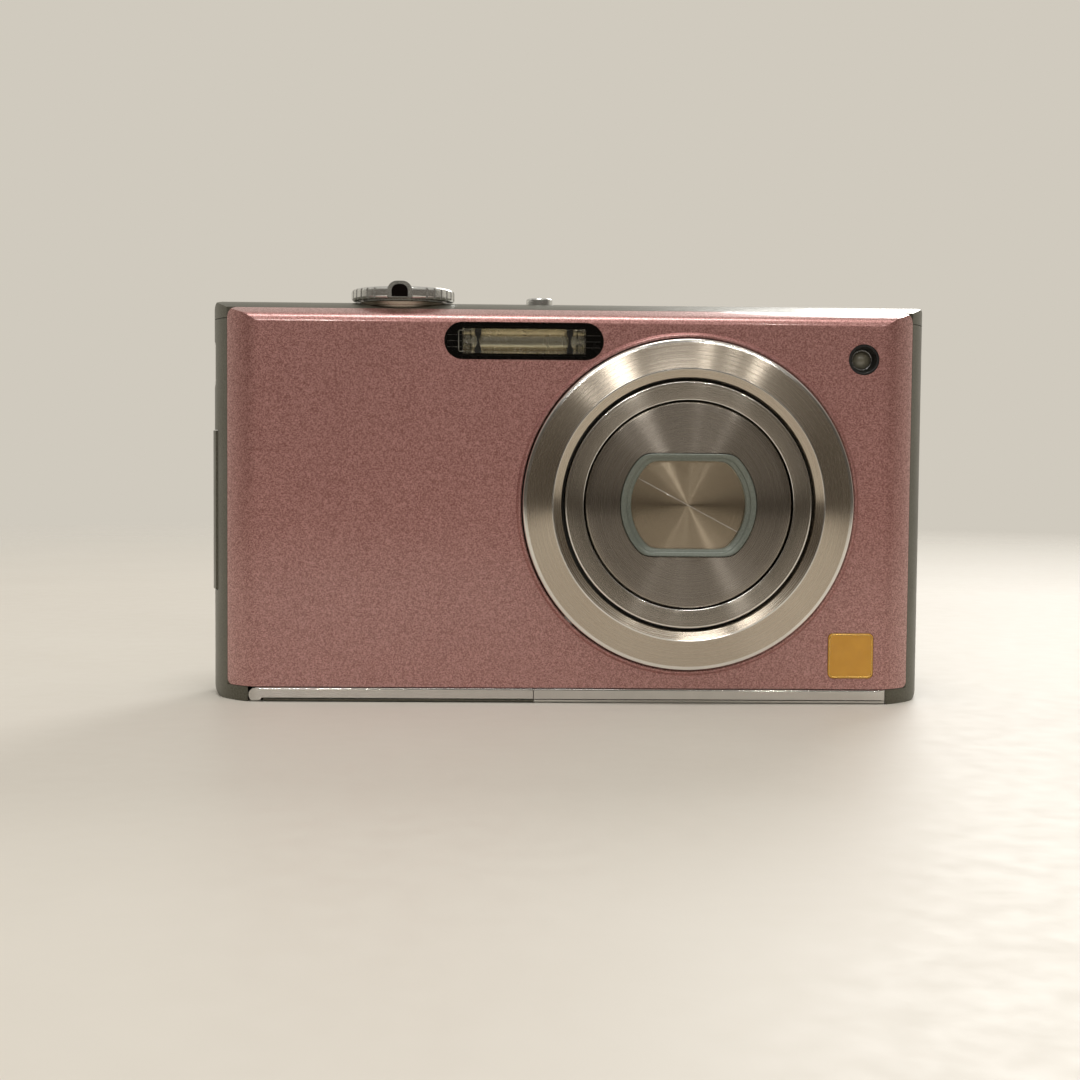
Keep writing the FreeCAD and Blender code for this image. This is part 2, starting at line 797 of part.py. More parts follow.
def key_rounds():
    """Place and radius of the two small round keys."""
    z = pad_z - small_key_drop
    return ((pad_x - small_key_spread, z, small_key_radius),
            (pad_x + small_key_spread, z, small_key_radius))


def mode_slot(side, play, start, end):
    """Rounded slot around the record and play switch, along X."""
    half = mode_width / 2 + side
    high = mode_height / 2 + play
    return rounded("y", mode_x - half, mode_x + half, mode_z - high, mode_z + high,
                   mode_round + play, start, end)


def top_cover():
    """Domed top shell between the front cover and the rear cover."""
    reach = body_width / 2
    shell = skin_part(-reach, reach, cover_depth + seam_gap, top_back_seam,
                      top_seam + seam_gap, body_height)
    shell = shell.cut(rod("z", zoom_x, zoom_y, dish_radius, dish_base, body_height))
    collar = tube("z", zoom_x, zoom_y, dish_radius + wall, dish_radius,
                  top_board_top() + seam_gap, body_height)
    shell = shell.fuse(body_inner.common(collar).common(
        block(-reach, reach, cover_depth + seam_gap, top_back_seam, 0, body_height)))
    shell = shell.cut(rod("z", small_button_x, small_button_y,
                          small_button_radius + zoom_play, top_seam, body_height))
    half = (power_width + power_travel) / 2 + power_play
    deep = power_depth / 2 + power_play
    shell = shell.cut(rounded("z", power_x - half, power_x + half, power_y - deep, power_y + deep,
                              power_play, top_seam, body_height))
    for column in (-1, 0, 1):
        for row in (-1, 0, 1):
            shell = shell.cut(rod("z", speaker_x + column * speaker_pitch,
                                  speaker_y + row * speaker_pitch, speaker_hole,
                                  top_seam, body_height))
    shell = shell.cut(rod("z", mic_x, speaker_y, mic_hole, top_seam, body_height))
    return shell.removeSplitter()


def trim_block(x0, x1):
    """A length of the bright strip along the lower front edge."""
    top = cover_base - seam_gap
    strip = prism([(0, trim_base, 0.12), (trim_thick, trim_base), (trim_thick, top), (0, top, 0.25)],
                  "x", x0, x1)
    return strip.common(body_outer)


def base_trim():
    """Fixed part of the bright strip, with the ledge that holds it."""
    ledge = block(door_right + door_play, trim_end, 0, trim_thick + wall - seam_gap, 0,
                  trim_base - seam_gap)
    strip = trim_block(door_right + door_play, trim_end)
    web = block(door_right + door_play, trim_end, trim_thick - 0.2, trim_thick + wall - seam_gap,
                0, cover_base - seam_gap)
    return strip.fuse(ledge.common(body_outer)).fuse(web).removeSplitter()


# ---- lens --------------------------------------------------------------------------------------
def lens_ring():
    """Fixed bright ring around the lens."""
    inner = outer_radius + barrel_gap
    corners = [(inner, wall), (inner, -ring_proud + ring_bevel_fall),
               (ring_line_radius, -ring_proud, 0.1),
               (ring_radius - ring_edge_round, -ring_proud + ring_fall, 0.15),
               (ring_radius, -ring_proud + ring_fall + ring_edge_round, 0.3), (ring_radius, wall)]
    return turned_y(corners, lens_x, lens_z)


def lens_housing():
    """Fixed lens body that carries the cam ring, the motor and the sensor."""
    body = lens_round(housing_radius, housing_front, floor_back)
    body = body.cut(lens_round(cam_outer + cam_play, housing_front, floor_front))
    tip = cam_pitch + 0.8 * tooth_module + housing_play
    body = body.cut(lens_round(tip, housing_front, tooth_start + tooth_thick + housing_play))
    half_w, half_h = focus_width / 2 + focus_play, focus_height / 2 + focus_play
    body = body.cut(block(lens_x - half_w, lens_x + half_w, floor_front, floor_back,
                          lens_z - half_h, lens_z + half_h))
    for x, y in screw_spots:
        lug = block(x - lug_size / 2, x + lug_size / 2, y - lug_size / 2, y + lug_size / 2,
                    wall, lens_z - housing_radius * 0.6)
        body = body.fuse(lug)
    body = body.cut(lens_round(cam_outer + cam_play, housing_front, floor_front))
    seat = block(gear_x - motor_radius - seat_margin, gear_x + motor_radius + seat_margin,
                 tooth_start + tooth_thick + 0.3, tooth_start + tooth_thick + 1.0,
                 gear_z - motor_radius - seat_margin, gear_z + motor_radius + seat_rise)
    body = body.fuse(seat.cut(lens_round(cam_outer + cam_play, 0, floor_front)))
    body = body.cut(rod("y", gear_x, gear_z, gear_pitch + tooth_module, 0,
                        tooth_start + tooth_thick + 0.3))
    body = body.cut(rod("y", gear_x, gear_z, gear_bore + rod_play, 0, floor_back))
    body = body.cut(rod("y", gear_x, gear_z, motor_radius + rod_play,
                        tooth_start + tooth_thick + 1.0, floor_back + housing_floor))
    return body.cut(screw_room()).removeSplitter()


def rod_places():
    """The two guide rods of the focus carrier, beside its lens."""
    reach = focus_width / 2 - rod_inset
    return ((lens_x - reach, lens_z + focus_height / 2 - rod_inset),
            (lens_x + reach, lens_z - focus_height / 2 + rod_inset))


def cam_ring():
    """Turning ring that drives the barrels, with its toothed rim."""
    ring = tube("y", lens_x, lens_z, cam_outer, cam_inner, cam_start, cam_end)
    rim = gear(cam_teeth, cam_inner, lens_x, lens_z, tooth_start, tooth_thick, gear_angle)
    return ring.fuse(rim).removeSplitter()


def drive_gear():
    """Gear on the motor shaft, its gaps facing the cam ring's tooth."""
    facing = gear_angle + 180 + 180.0 / gear_teeth
    return gear(gear_teeth, gear_bore, gear_x, gear_z, tooth_start, tooth_thick, facing)


def zoom_motor():
    """Geared motor behind the drive gear, with its shaft."""
    start = tooth_start + tooth_thick + 1.0
    can = rod("y", gear_x, gear_z, motor_radius, start, start + motor_length * 0.55)
    slim = rod("y", gear_x, gear_z, motor_radius - 0.25, start, start + motor_length)
    shaft = rod("y", gear_x, gear_z, motor_shaft, tooth_start - 0.3, start + 1)
    return can.fuse(slim).fuse(shaft).removeSplitter()


def barrel_outer():
    """Outer sliding barrel with its wide front rim."""
    front = -outer_face
    corners = [(outer_radius, barrel_back), (outer_radius, front, face_round),
               (outer_radius - outer_rim, front, face_round * 0.6),
               (outer_radius - outer_rim, front + rim_thick), (outer_bore, front + rim_thick),
               (outer_bore, barrel_back)]
    return turned_y(corners, lens_x, lens_z)


def barrel_inner():
    """Inner sliding barrel, with the flange that keeps it in the outer one."""
    front = -inner_face
    flange = outer_bore - flange_play
    back = barrel_back
    corners = [(0, front), (inner_radius, front, face_round),
               (inner_radius, flange_front), (flange, flange_front),
               (flange, back), (inner_bore, back), (inner_bore, front + face_thick),
               (0, front + face_thick)]
    barrel = turned_y(corners, lens_x, lens_z)
    return barrel.cut(lens_flat(frame_radius + frame_play, frame_half + frame_play,
                                front, front + face_thick))


def window_frame():
    """Stepped frame around the window of the barrier."""
    front = -inner_face - frame_proud
    frame = lens_flat(frame_radius, frame_half, front, front + frame_thick)
    step = frame_step
    frame = frame.cut(lens_flat(frame_radius - step, frame_half - step * 0.7,
                                front, front + frame_step_depth))
    return frame.cut(lens_flat(window_radius, window_half, front, front + frame_thick))


def leaf(side):
    """One barrier leaf with its pivot ear; side is 1 for the upper leaf, -1 for the lower."""
    start, end = leaf_front, leaf_front + leaf_thick
    half = lens_round(leaf_radius, start, end)
    ear_x, ear_z = lens_x + leaf_pivot_out, lens_z + leaf_pivot_up
    arm = block(lens_x + leaf_radius * 0.75, ear_x, start, end,
                lens_z + leaf_seam, ear_z + leaf_ear)
    arm = arm.fuse(rod("y", ear_x, ear_z, leaf_ear, start, end))
    half = half.fuse(arm)
    half = half.common(block(lens_x - outer_radius, lens_x + outer_radius, start, end,
                             lens_z + leaf_seam, lens_z + outer_radius))
    half = half.cut(rod("y", ear_x, ear_z, leaf_pin + rod_play, start, end))
    turn = leaf_tilt if side > 0 else leaf_tilt + 180
    return around(half.removeSplitter(), "y", lens_x, lens_z, -turn)


def leaf_pivot(side):
    """Centre (x, z) of a leaf's pivot."""
    turn = math.radians(leaf_tilt if side > 0 else leaf_tilt + 180)
    u, v = leaf_pivot_out, leaf_pivot_up
    return (lens_x + u * math.cos(turn) - v * math.sin(turn),
            lens_z + u * math.sin(turn) + v * math.cos(turn))


def lens_cell():
    """Black cell that holds the lens groups, and the leaves on two pins at its front."""
    radius = inner_bore - cell_radius_play
    seat_front = cell_front + front_lens_thick
    group_front = shutter_front - group_lens_thick
    corners = [(radius, shutter_front), (group_lens_radius, shutter_front), (group_lens_radius, group_front),
               (group_lens_radius - 0.5, group_front), (group_lens_radius - 0.5, seat_front),
               (front_lens_radius, seat_front), (front_lens_radius, cell_front),
               (plate_hole, cell_front), (plate_hole, plate_front), (radius, plate_front)]
    cell = turned_y(corners, lens_x, lens_z)
    for side in (1, -1):
        x, z = leaf_pivot(side)
        cell = cell.fuse(rod("y", x, z, leaf_pin, leaf_front, cell_front))
    return cell.removeSplitter()


def shutter_unit():
    """Shutter and iris block behind the lens groups."""
    back = shutter_front + shutter_thick
    unit = tube("y", lens_x, lens_z, shutter_radius, shutter_hole, shutter_front, back)
    return unit.cut(rod("y", lens_x, lens_z, shutter_hole + 1.2, back - 0.5, back))


def focus_carrier():
    """Small sliding frame that holds the focus lens on its two rods."""
    half_w, half_h = focus_width / 2, focus_height / 2
    frame = rounded("y", lens_x - half_w, lens_x + half_w, lens_z - half_h, lens_z + half_h, 1.0,
                    focus_front, focus_front + focus_thick)
    frame = frame.cut(lens_round(focus_lens_radius, focus_front, focus_front + focus_thick))
    for x, z in rod_places():
        frame = frame.cut(rod("y", x, z, rod_radius + rod_play, focus_front,
                              focus_front + focus_thick))
    return frame


def group(*shapes):
    """Separate solids kept together in one file."""
    return Part.makeCompound(list(shapes))


# ---- flash, lamp and badge ---------------------------------------------------------------------
def flash_slot(inset, start, end):
    """Slot with round ends that the flash looks out of."""
    half_w, half_h = flash_width / 2 - inset, flash_height / 2 - inset
    return rounded("y", flash_x - half_w, flash_x + half_w, flash_z - half_h, flash_z + half_h,
                   half_h - 0.01, start, end)


def flash_window():
    """Clear window in the slot."""
    return flash_slot(flash_play, flash_set_back, flash_set_back + flash_window_thick)


def flash_bezel():
    """Black holder behind the window that carries the reflector and the tube."""
    back = wall + reflector_depth + bezel_back
    body = flash_slot(-bezel_margin, wall, back).common(body_inner)
    half_w, half_h = reflector_width / 2 + flash_play, reflector_height / 2 + flash_play
    pocket = block(flash_x - half_w, flash_x + half_w, wall, wall + reflector_depth + flash_play,
                   flash_z - half_h, flash_z + half_h)
    reach = reflector_width / 2 + tube_end
    hole = rod("x", tube_y, flash_z, tube_radius + flash_play, flash_x - reach, flash_x + reach)
    return body.cut(pocket).cut(hole)


def flash_reflector():
    """Bright trough around the flash tube."""
    half, back = reflector_height / 2, wall + reflector_depth
    left, right = flash_x - reflector_width / 2, flash_x + reflector_width / 2
    body = block(left, right, wall, back, flash_z - half, flash_z + half)
    inner, thin = half - reflector_wall, reflector_wall
    throat = tube_radius + flash_play
    trough = prism([(wall, flash_z - inner), (tube_y, flash_z - throat - thin, 1.0),
                    (back - thin, flash_z - throat, 0.3), (back - thin, flash_z + throat, 0.3),
                    (tube_y, flash_z + throat + thin, 1.0), (wall, flash_z + inner)],
                   "x", left, right)
    return body.cut(trough)


def flash_tube():
    """Glass flash tube across the reflector."""
    reach = reflector_width / 2 + tube_end
    return rod("x", tube_y, flash_z, tube_radius, flash_x - reach, flash_x + reach)


def lamp_bezel():
    """Black funnel around the focus lamp."""
    radius = lamp_radius - lamp_play
    corners = [(radius, 0.05), (radius, wall), (radius + 0.6, wall), (radius + 0.6, lamp_depth),
               (lamp_lens_radius - 0.3, lamp_depth),
               (lamp_lens_radius - 0.3, lamp_set_back + lamp_lens_thick),
               (lamp_lens_radius, lamp_set_back + lamp_lens_thick),
               (lamp_lens_radius, lamp_set_back), (radius - 0.25, 0.05, 0.1)]
    return turned_y(corners, lamp_x, lamp_z)


def lamp_lens():
    """Small domed lens of the focus lamp."""
    body = rod("y", lamp_x, lamp_z, lamp_lens_radius, lamp_set_back, lamp_set_back + lamp_lens_thick)
    ball = lamp_lens_radius * 1.3
    return body.common(Part.makeSphere(ball, V(lamp_x, lamp_set_back + ball, lamp_z)))


def badge_block(play, start, end):
    """Square with rounded corners for the badge and its pocket."""
    half = badge_size / 2 + play
    return rounded("y", badge_x - half, badge_x + half, badge_z - half, badge_z + half,
                   badge_round + play, start, end)


def badge():
    """Enamelled square plate, left bare."""
    back = badge_thick - badge_proud
    plate = badge_block(0, -badge_proud, back)
    return plate.makeChamfer(0.08, [edge for edge in plate.Edges
                                    if edge.BoundBox.YMax < -badge_proud + 0.001])


# ---- top controls ------------------------------------------------------------------------------
def zoom_ring():
    """Knurled ring around the shutter button, with its finger tab."""
    top = zoom_base + zoom_thick
    ring = turned_z([(zoom_bore, zoom_base), (zoom_radius, zoom_base, 0.45),
                     (zoom_radius, top, 0.55), (zoom_bore, top, 0.2)], zoom_x, zoom_y)
    skirt_outer = dish_bore() - zoom_play
    ring = ring.fuse(tube("z", zoom_x, zoom_y, skirt_outer, skirt_outer - zoom_skirt_wall,
                          zoom_base - zoom_skirt, zoom_base + 0.3))
    half = zoom_tab_width / 2
    tip = zoom_y - zoom_radius
    tab = prism([(zoom_x - half, zoom_base), (zoom_x + half, zoom_base),
                 (zoom_x + half, top + zoom_tab_rise, half * 0.8),
                 (zoom_x - half, top + zoom_tab_rise, half * 0.8)], "y",
                tip - zoom_tab_out, zoom_y - zoom_bore)
    tab = tab.cut(rod("x", zoom_y - zoom_bore, top + zoom_tab_rise + 0.4, zoom_radius - zoom_bore + 0.1,
                      zoom_x - half, zoom_x + half))
    tab = tab.cut(rod("z", zoom_x, zoom_y, zoom_bore, zoom_base, top + zoom_tab_rise))
    for index in range(notch_count):
        angle = 2 * math.pi * index / notch_count
        if abs(math.cos(angle)) < 0.35 and math.sin(angle) < 0:
            continue
        ring = ring.cut(rod("z", zoom_x + zoom_radius * math.cos(angle),
                            zoom_y + zoom_radius * math.sin(angle), notch_radius,
                            zoom_base - 0.1, top + 0.1))
    lug = block(zoom_x - zoom_lug / 2, zoom_x + zoom_lug / 2, zoom_y + skirt_outer - 0.2,
                zoom_y + dish_radius - 0.4, zoom_base - zoom_lug_drop, zoom_base + 0.2)
    return ring.fuse(tab).fuse(lug).removeSplitter()


def dish_bore():
    """Radius of the hole in the dish that the ring's sleeve turns in."""
    return dish_base_radius - 0.2


def zoom_dish():
    """Bright dish set into the top cover, under the zoom ring."""
    rim = body_height - 0.2
    corners = [(dish_bore(), dish_base), (dish_base_radius, dish_base),
               (dish_radius - seam_gap, rim), (dish_radius - seam_gap - 0.3, rim + 0.15),
               (dish_bore(), rim + 0.15)]
    dish = turned_z(corners, zoom_x, zoom_y)
    half = zoom_turn + math.degrees(math.atan2(zoom_lug / 2 + zoom_play, dish_bore()))
    low = zoom_base - zoom_lug_drop - zoom_play
    gap = Part.makeCylinder(dish_radius + 1, body_height - low, V(zoom_x, zoom_y, low),
                            V(0, 0, 1), 2 * half)
    return dish.cut(around(gap, "z", zoom_x, zoom_y, 90 - half))


def button_inner():
    """Inner radius of the zoom ring's sleeve."""
    return dish_bore() - zoom_play - zoom_skirt_wall


def shutter_button():
    """Domed release button with its stem and collar."""
    radius = min(button_radius, button_inner() - zoom_play)
    cap = turned_z([(0, button_top - 1.4), (radius, button_top - 1.4),
                    (radius, button_top - button_dome, 0.3), (0, button_top)], zoom_x, zoom_y)
    stem = rod("z", zoom_x, zoom_y, button_stem, top_board_top() + button_travel + 0.1, button_top - 1)
    return cap.fuse(stem)


def top_board_top():
    """Upper face of the board under the top controls."""
    return dish_base - 0.3


def top_board():
    """Small board under the top controls, with the switches they press."""
    top = top_board_top()
    left, right = zoom_x - dish_base_radius - 1, power_x + (power_width + power_travel) / 2 + 1
    board = block(left, right, zoom_y - top_board_front,
                  zoom_y + top_board_back, top - top_switch_thick, top)
    return board


def small_button():
    """Small bright button on the top, with the collar that keeps it in."""
    crown = body_height
    radius = small_button_radius
    foot = top_board_top() + small_button_travel + 0.1
    cap = turned_z([(0, foot), (radius + top_key_collar, foot), (radius + top_key_collar, foot + 0.4),
                    (radius, foot + 0.4), (radius, crown + small_button_proud, 0.3),
                    (0, crown + small_button_proud)], small_button_x, small_button_y)
    return cap


def power_switch():
    """Ribbed slider in its slot in the top cover, at the off end."""
    x = power_x - power_travel / 2
    half_w, half_d = power_width / 2, power_depth / 2
    top = body_height - power_set_down
    under = body_height - wall - power_play - 0.15
    knob = rounded("z", x - half_w, x + half_w, power_y - half_d, power_y + half_d, 0.5, under, top)
    for offset in (-1.2, -0.4, 0.4, 1.2):
        knob = knob.cut(rod("y", x + offset, top, 0.2, power_y - half_d, power_y + half_d))
    foot = block(x - half_w - power_foot, x + half_w + power_foot, power_y - half_d - power_foot,
                 power_y + half_d + power_foot, under - power_foot_thick, under)
    return knob.fuse(foot).removeSplitter()


def speaker():
    """Round loudspeaker under its holes."""
    top = body_height - wall - speaker_drop
    body = rod("z", speaker_x, speaker_y, speaker_radius, top - speaker_thick, top)
    return body.cut(tube("z", speaker_x, speaker_y, speaker_radius - 0.5, speaker_radius - 1.1,
                         top - 0.2, top))


def microphone():
    """Small microphone capsule under its hole."""
    top = body_height - wall - mic_drop
    return rod("z", mic_x, speaker_y, mic_radius, top - mic_thick, top)


# ---- battery, card and door --------------------------------------------------------------------
def battery_bay():
    """Plastic bay that holds the battery and the card, open at the base."""
    base = battery_base
    body = block(bay_left, bay_right, bay_front, bay_back, base, bay_top + bay_wall)
    half = battery_width / 2 + bay_play
    room = block(battery_x - half, battery_x + half, battery_front - bay_play,
                 battery_back + bay_play, base, bay_top)
    card_half = card_width / 2 + bay_play
    card_room = block(battery_x - card_half, battery_x + card_half, card_front - bay_play,
                      card_front + card_depth + bay_play, base,
                      base + card_height + bay_play)
    return body.cut(room).cut(card_room)


def battery():
    """Flat rechargeable battery."""
    half = battery_width / 2
    cell = rounded("z", battery_x - half, battery_x + half, battery_front, battery_back,
                   battery_round, battery_base, battery_base + battery_height)
    return cell


def memory_card():
    """Memory card with its cut corner."""
    half = card_width / 2
    left, right = battery_x - half, battery_x + half
    base, top = battery_base, battery_base + card_height
    return prism([(left, base), (right, base), (right, top), (left + card_corner, top),
                  (left, top - card_corner)], "y", card_front, card_front + card_depth)


def battery_contacts():
    """Sprung contacts at the top of the battery bay."""
    springs = []
    base, top = battery_base + battery_height, bay_top
    for index in range(contact_count):
        x = battery_x + (index - (contact_count - 1) / 2) * contact_pitch
        springs.append(block(x - contact_width / 2, x + contact_width / 2, battery_front + contact_inset,
                             battery_back - contact_inset, base + contact_gap, top - contact_gap))
    return group(*springs)


def latch_slot():
    """Slot in the base that the latch locks into."""
    y = latch_place()[1]
    half = latch_depth / 2 + latch_foot + latch_play
    return block(door_right, door_right + door_play + latch_travel + latch_play, y - half, y + half,
                 latch_thick, door_thick)


def latch_place():
    """Middle of the latch's travel along X, and its Y."""
    right = door_right - latch_end
    return right - latch_width / 2 - latch_travel / 2, (door_back + trim_thick + wall) / 2


def battery_door():
    """Base door over the battery and the card, with its hinge knuckles."""
    base = body_outer.common(block(door_axis_x, door_right, trim_thick + wall, door_back, 0, door_thick))
    ledge = body_outer.common(block(door_axis_x, door_right, 0, trim_thick + wall, 0,
                                    trim_base - seam_gap))
    lip = block(door_axis_x + door_knuckle + 0.4, door_right, trim_thick, trim_thick + wall,
                0, cover_base - seam_gap)
    door = base.fuse(ledge).fuse(lip.common(body_outer))
    for start in (hinge_start(), hinge_end() - knuckle_length):
        knuckle = rod("y", door_axis_x, door_axis_z, door_knuckle, start, start + knuckle_length)
        knuckle = knuckle.fuse(block(door_axis_x, door_axis_x + door_knuckle + 0.5, start,
                                     start + knuckle_length, 0, door_thick))
        door = door.fuse(knuckle)
    for start, end in ((0, hinge_start()), (hinge_start() + knuckle_length,
                                            hinge_end() - knuckle_length), (hinge_end(), door_back)):
        door = door.cut(block(door_axis_x - 1, door_axis_x + door_knuckle + knuckle_play,
                              start - 0.01, end + 0.01, -1, door_thick + 1))
    door = door.cut(rod("y", door_axis_x, door_axis_z, door_pin_radius + door_pin_play, 0, door_back))
    x, y = latch_place()
    half_w = (latch_width + latch_travel) / 2 + latch_play
    half_d = latch_depth / 2 + latch_play
    door = door.cut(block(x - half_w, x + half_w, y - half_d, y + half_d, 0, door_thick))
    groove = block(x - half_w - latch_foot, door_right, y - half_d - latch_foot,
                   y + half_d + latch_foot, latch_thick, door_thick)
    return door.cut(groove).removeSplitter()


def hinge_start():
    """Front end of the door's hinge."""
    return trim_thick + wall + 0.3


def hinge_end():
    """Back end of the door's hinge."""
    return door_back - 0.4


def door_pin():
    """Steel pin of the battery door, held by the middle frame."""
    return rod("y", door_axis_x, door_axis_z, door_pin_radius, hinge_start() - 0.2, hinge_end() + 0.2)


def door_trim():
    """Part of the bright strip that is fixed to the battery door, rounded over its hinge."""
    end = rod("y", door_axis_x, door_axis_z, door_knuckle, 0, trim_thick).common(body_outer)
    return trim_block(door_axis_x, door_right).fuse(end).removeSplitter()


def door_latch():
    """Sliding latch in the battery door, drawn back to its open end."""
    x, y = latch_place()
    x -= latch_travel / 2
    half_w, half_d = latch_width / 2, latch_depth / 2
    knob = block(x - half_w, x + half_w, y - half_d, y + half_d, 0.05, latch_thick + 0.3)
    for offset in (-1.4, -0.7, 0, 0.7, 1.4):
        knob = knob.cut(rod("y", x + offset, 0.05, 0.15, y - half_d, y + half_d))
    tongue = block(x - half_w - latch_foot + latch_play, door_right - 0.05,
                   y - half_d - latch_foot + latch_play, y + half_d + latch_foot - latch_play,
                   latch_thick + latch_play, door_thick - latch_play)
    return knob.fuse(tongue).removeSplitter()


# ---- tripod socket and screws ------------------------------------------------------------------
def tripod_socket():
    """Threaded metal socket in the base."""
    top = tripod_depth + tripod_cap
    body = rod("z", tripod_x, tripod_y, tripod_radius, wall, top)
    body = body.fuse(rod("z", tripod_x, tripod_y, tripod_radius - tripod_cap, 0, wall))
    return body.cut(rod("z", tripod_x, tripod_y, tripod_bore, 0, tripod_depth)).removeSplitter()


def base_screws():
    """Screws through the base into the lens body."""
    screws = []
    for x, y in screw_spots:
        head = rod("z", x, y, screw_head, 0, screw_head_thick)
        slot = screw_head * 0.7
        for wide, deep in ((slot, 0.15), (0.15, slot)):
            head = head.cut(block(x - wide, x + wide, y - deep, y + deep, 0, 0.2))
        screws.append(head.fuse(rod("z", x, y, screw_shank, screw_head_thick, screw_length)))
    return group(*screws)


# ---- side door, sockets and strap bar ----------------------------------------------------------
def end_surface(y, inset=0.0):
    """Distance from the middle to the bulged end at a depth."""
    centre = body_width / 2 - end_radius
    return centre + math.sqrt((end_radius - inset) ** 2 - (y - half_depth) ** 2)


def side_ring(outset, inset, y0, y1, z0, z1):
    """Part of the bulged left end between two offsets of its surface."""
    ring = body_block_end(outset).cut(body_block_end(-inset))
    return ring.common(block(-body_width, -body_width / 2 + end_radius / 2, y0, y1, z0, z1))


def body_block_end(outset):
    """A cylinder that follows the bulged left end, moved out by a distance."""
    centre = -(body_width / 2 - end_radius)
    return rod("z", centre, half_depth, end_radius + outset, 0, body_height)


side_pin_y = side_door_back - side_knuckle
side_pin_x = -(end_surface(side_pin_y) + side_door_proud - side_knuckle)


def side_door_room():
    """Recess and socket space behind the side door, cut out of the shells."""
    room = side_ring(1.0, side_door_thick - side_door_proud + side_door_play,
                     side_door_front - side_door_gap, side_door_back + side_door_play,
                     side_door_base - side_door_play, side_door_top + side_door_play)
    knuckle = rod("z", side_pin_x, side_pin_y, side_knuckle + side_door_play,
                  side_door_base - side_door_play, side_door_top + side_door_play)
    return room.fuse(knuckle).fuse(socket_room())


def socket_room():
    """Slot through the end wall for the sockets."""
    y = socket_y()
    half = socket_width / 2 + socket_wall + seam_gap
    return block(-body_width / 2, -side_inner_x(), y - half, y + half,
                 socket_base() - seam_gap, socket_base() + socket_stack() + seam_gap)


def socket_y():
    """Depth of the middle of the sockets."""
    return (side_door_front + side_door_back) / 2 - 1.0


def socket_stack():
    """Height of the sockets together."""
    return sum(socket_heights) + socket_gap + 4 * socket_wall


def socket_base():
    """Lower end of the sockets, centred behind the door."""
    return (side_door_base + side_door_top - socket_stack()) / 2


def side_door():
    """Hinged cover over the side sockets, following the bulged end."""
    door = side_ring(side_door_proud, side_door_thick - side_door_proud, side_door_front,
                     side_pin_y, side_door_base, side_door_top)
    knuckle = rod("z", side_pin_x, side_pin_y, side_knuckle, side_door_base, side_door_top)
    door = door.fuse(knuckle)
    return door.cut(rod("z", side_pin_x, side_pin_y, side_pin_radius + rod_play, side_door_base,
                        side_door_top)).removeSplitter()


def side_pin():
    """Pin of the side door."""
    reach = side_door_play + 0.6
    return rod("z", side_pin_x, side_pin_y, side_pin_radius, side_door_base - reach,
               side_door_top + reach)


def side_sockets():
    """Metal socket shells and their board behind the side door."""
    y = socket_y()
    outer = end_surface(y) - side_door_thick - side_door_play
    left, right = -outer + 0.2, -side_inner_x() - socket_board
    shells = block(right, right + socket_board, y - socket_width / 2 - 0.8,
                   y + socket_width / 2 + 0.8, socket_base() - 0.8,
                   socket_base() + socket_stack() + 0.8)
    z = socket_base()
    half = socket_width / 2
    for height in socket_heights:
        tall = height + 2 * socket_wall
        shell = rounded("x", y - half - socket_wall, y + half + socket_wall, z, z + tall, 0.5,
                        left, right)
        shell = shell.cut(rounded("x", y - half, y + half, z + socket_wall,
                                  z + socket_wall + height, 0.3, left, right - 0.4))
        tongue = block(left + 1.0, right, y - half + 1.2, y + half - 1.2, z + socket_wall + 0.9,
                       z + tall - socket_wall - 0.9)
        shells = shells.fuse(shell).fuse(tongue)
        z += tall + socket_gap
    return shells.removeSplitter()


def strap_room():
    """Pocket in the end for the strap bar."""
    half_w, half_h = strap_width / 2, strap_height / 2
    end = end_surface(strap_y)
    return rounded("x", strap_y - half_w, strap_y + half_w, strap_z - half_h, strap_z + half_h,
                   1.0, -end - 1, -end + strap_depth)


def strap_eyelet():
    """Lined pocket with the upright bar that a wrist strap loops around."""
    half_w, half_h = strap_width / 2 - seam_gap, strap_height / 2 - seam_gap
    end = end_surface(strap_y)
    inner = -end + strap_depth
    cup = rounded("x", strap_y - half_w, strap_y + half_w, strap_z - half_h, strap_z + half_h,
                  0.9, -end - 1, inner + strap_wall)
    hollow = rounded("x", strap_y - half_w + strap_wall, strap_y + half_w - strap_wall,
                     strap_z - half_h + strap_wall, strap_z + half_h - strap_wall, 0.5,
                     -end - 1, inner)
    cup = cup.cut(hollow).common(body_block_end(0))
    bar = rod("z", -end + strap_set_in, strap_y, strap_bar, strap_z - half_h + 0.2,
              strap_z + half_h - 0.2)
    return cup.fuse(bar).removeSplitter()


# ---- back --------------------------------------------------------------------------------------
def display_block(play, start, end):
    """Rounded rectangle of the display window and its opening."""
    half_w, half_h = display_width / 2 + play, display_height / 2 + play
    return rounded("y", display_x - half_w, display_x + half_w, display_z - half_h,
                   display_z + half_h, display_round + play, start, end)


def display_window():
    """Clear window over the display."""
    return display_block(0, glass_front, body_depth)


def display_panel():
    """Display behind its window."""
    half_w, half_h = panel_width / 2, panel_height / 2
    return block(display_x - half_w, display_x + half_w, panel_back - panel_thick, panel_back,
                 display_z - half_h, display_z + half_h)


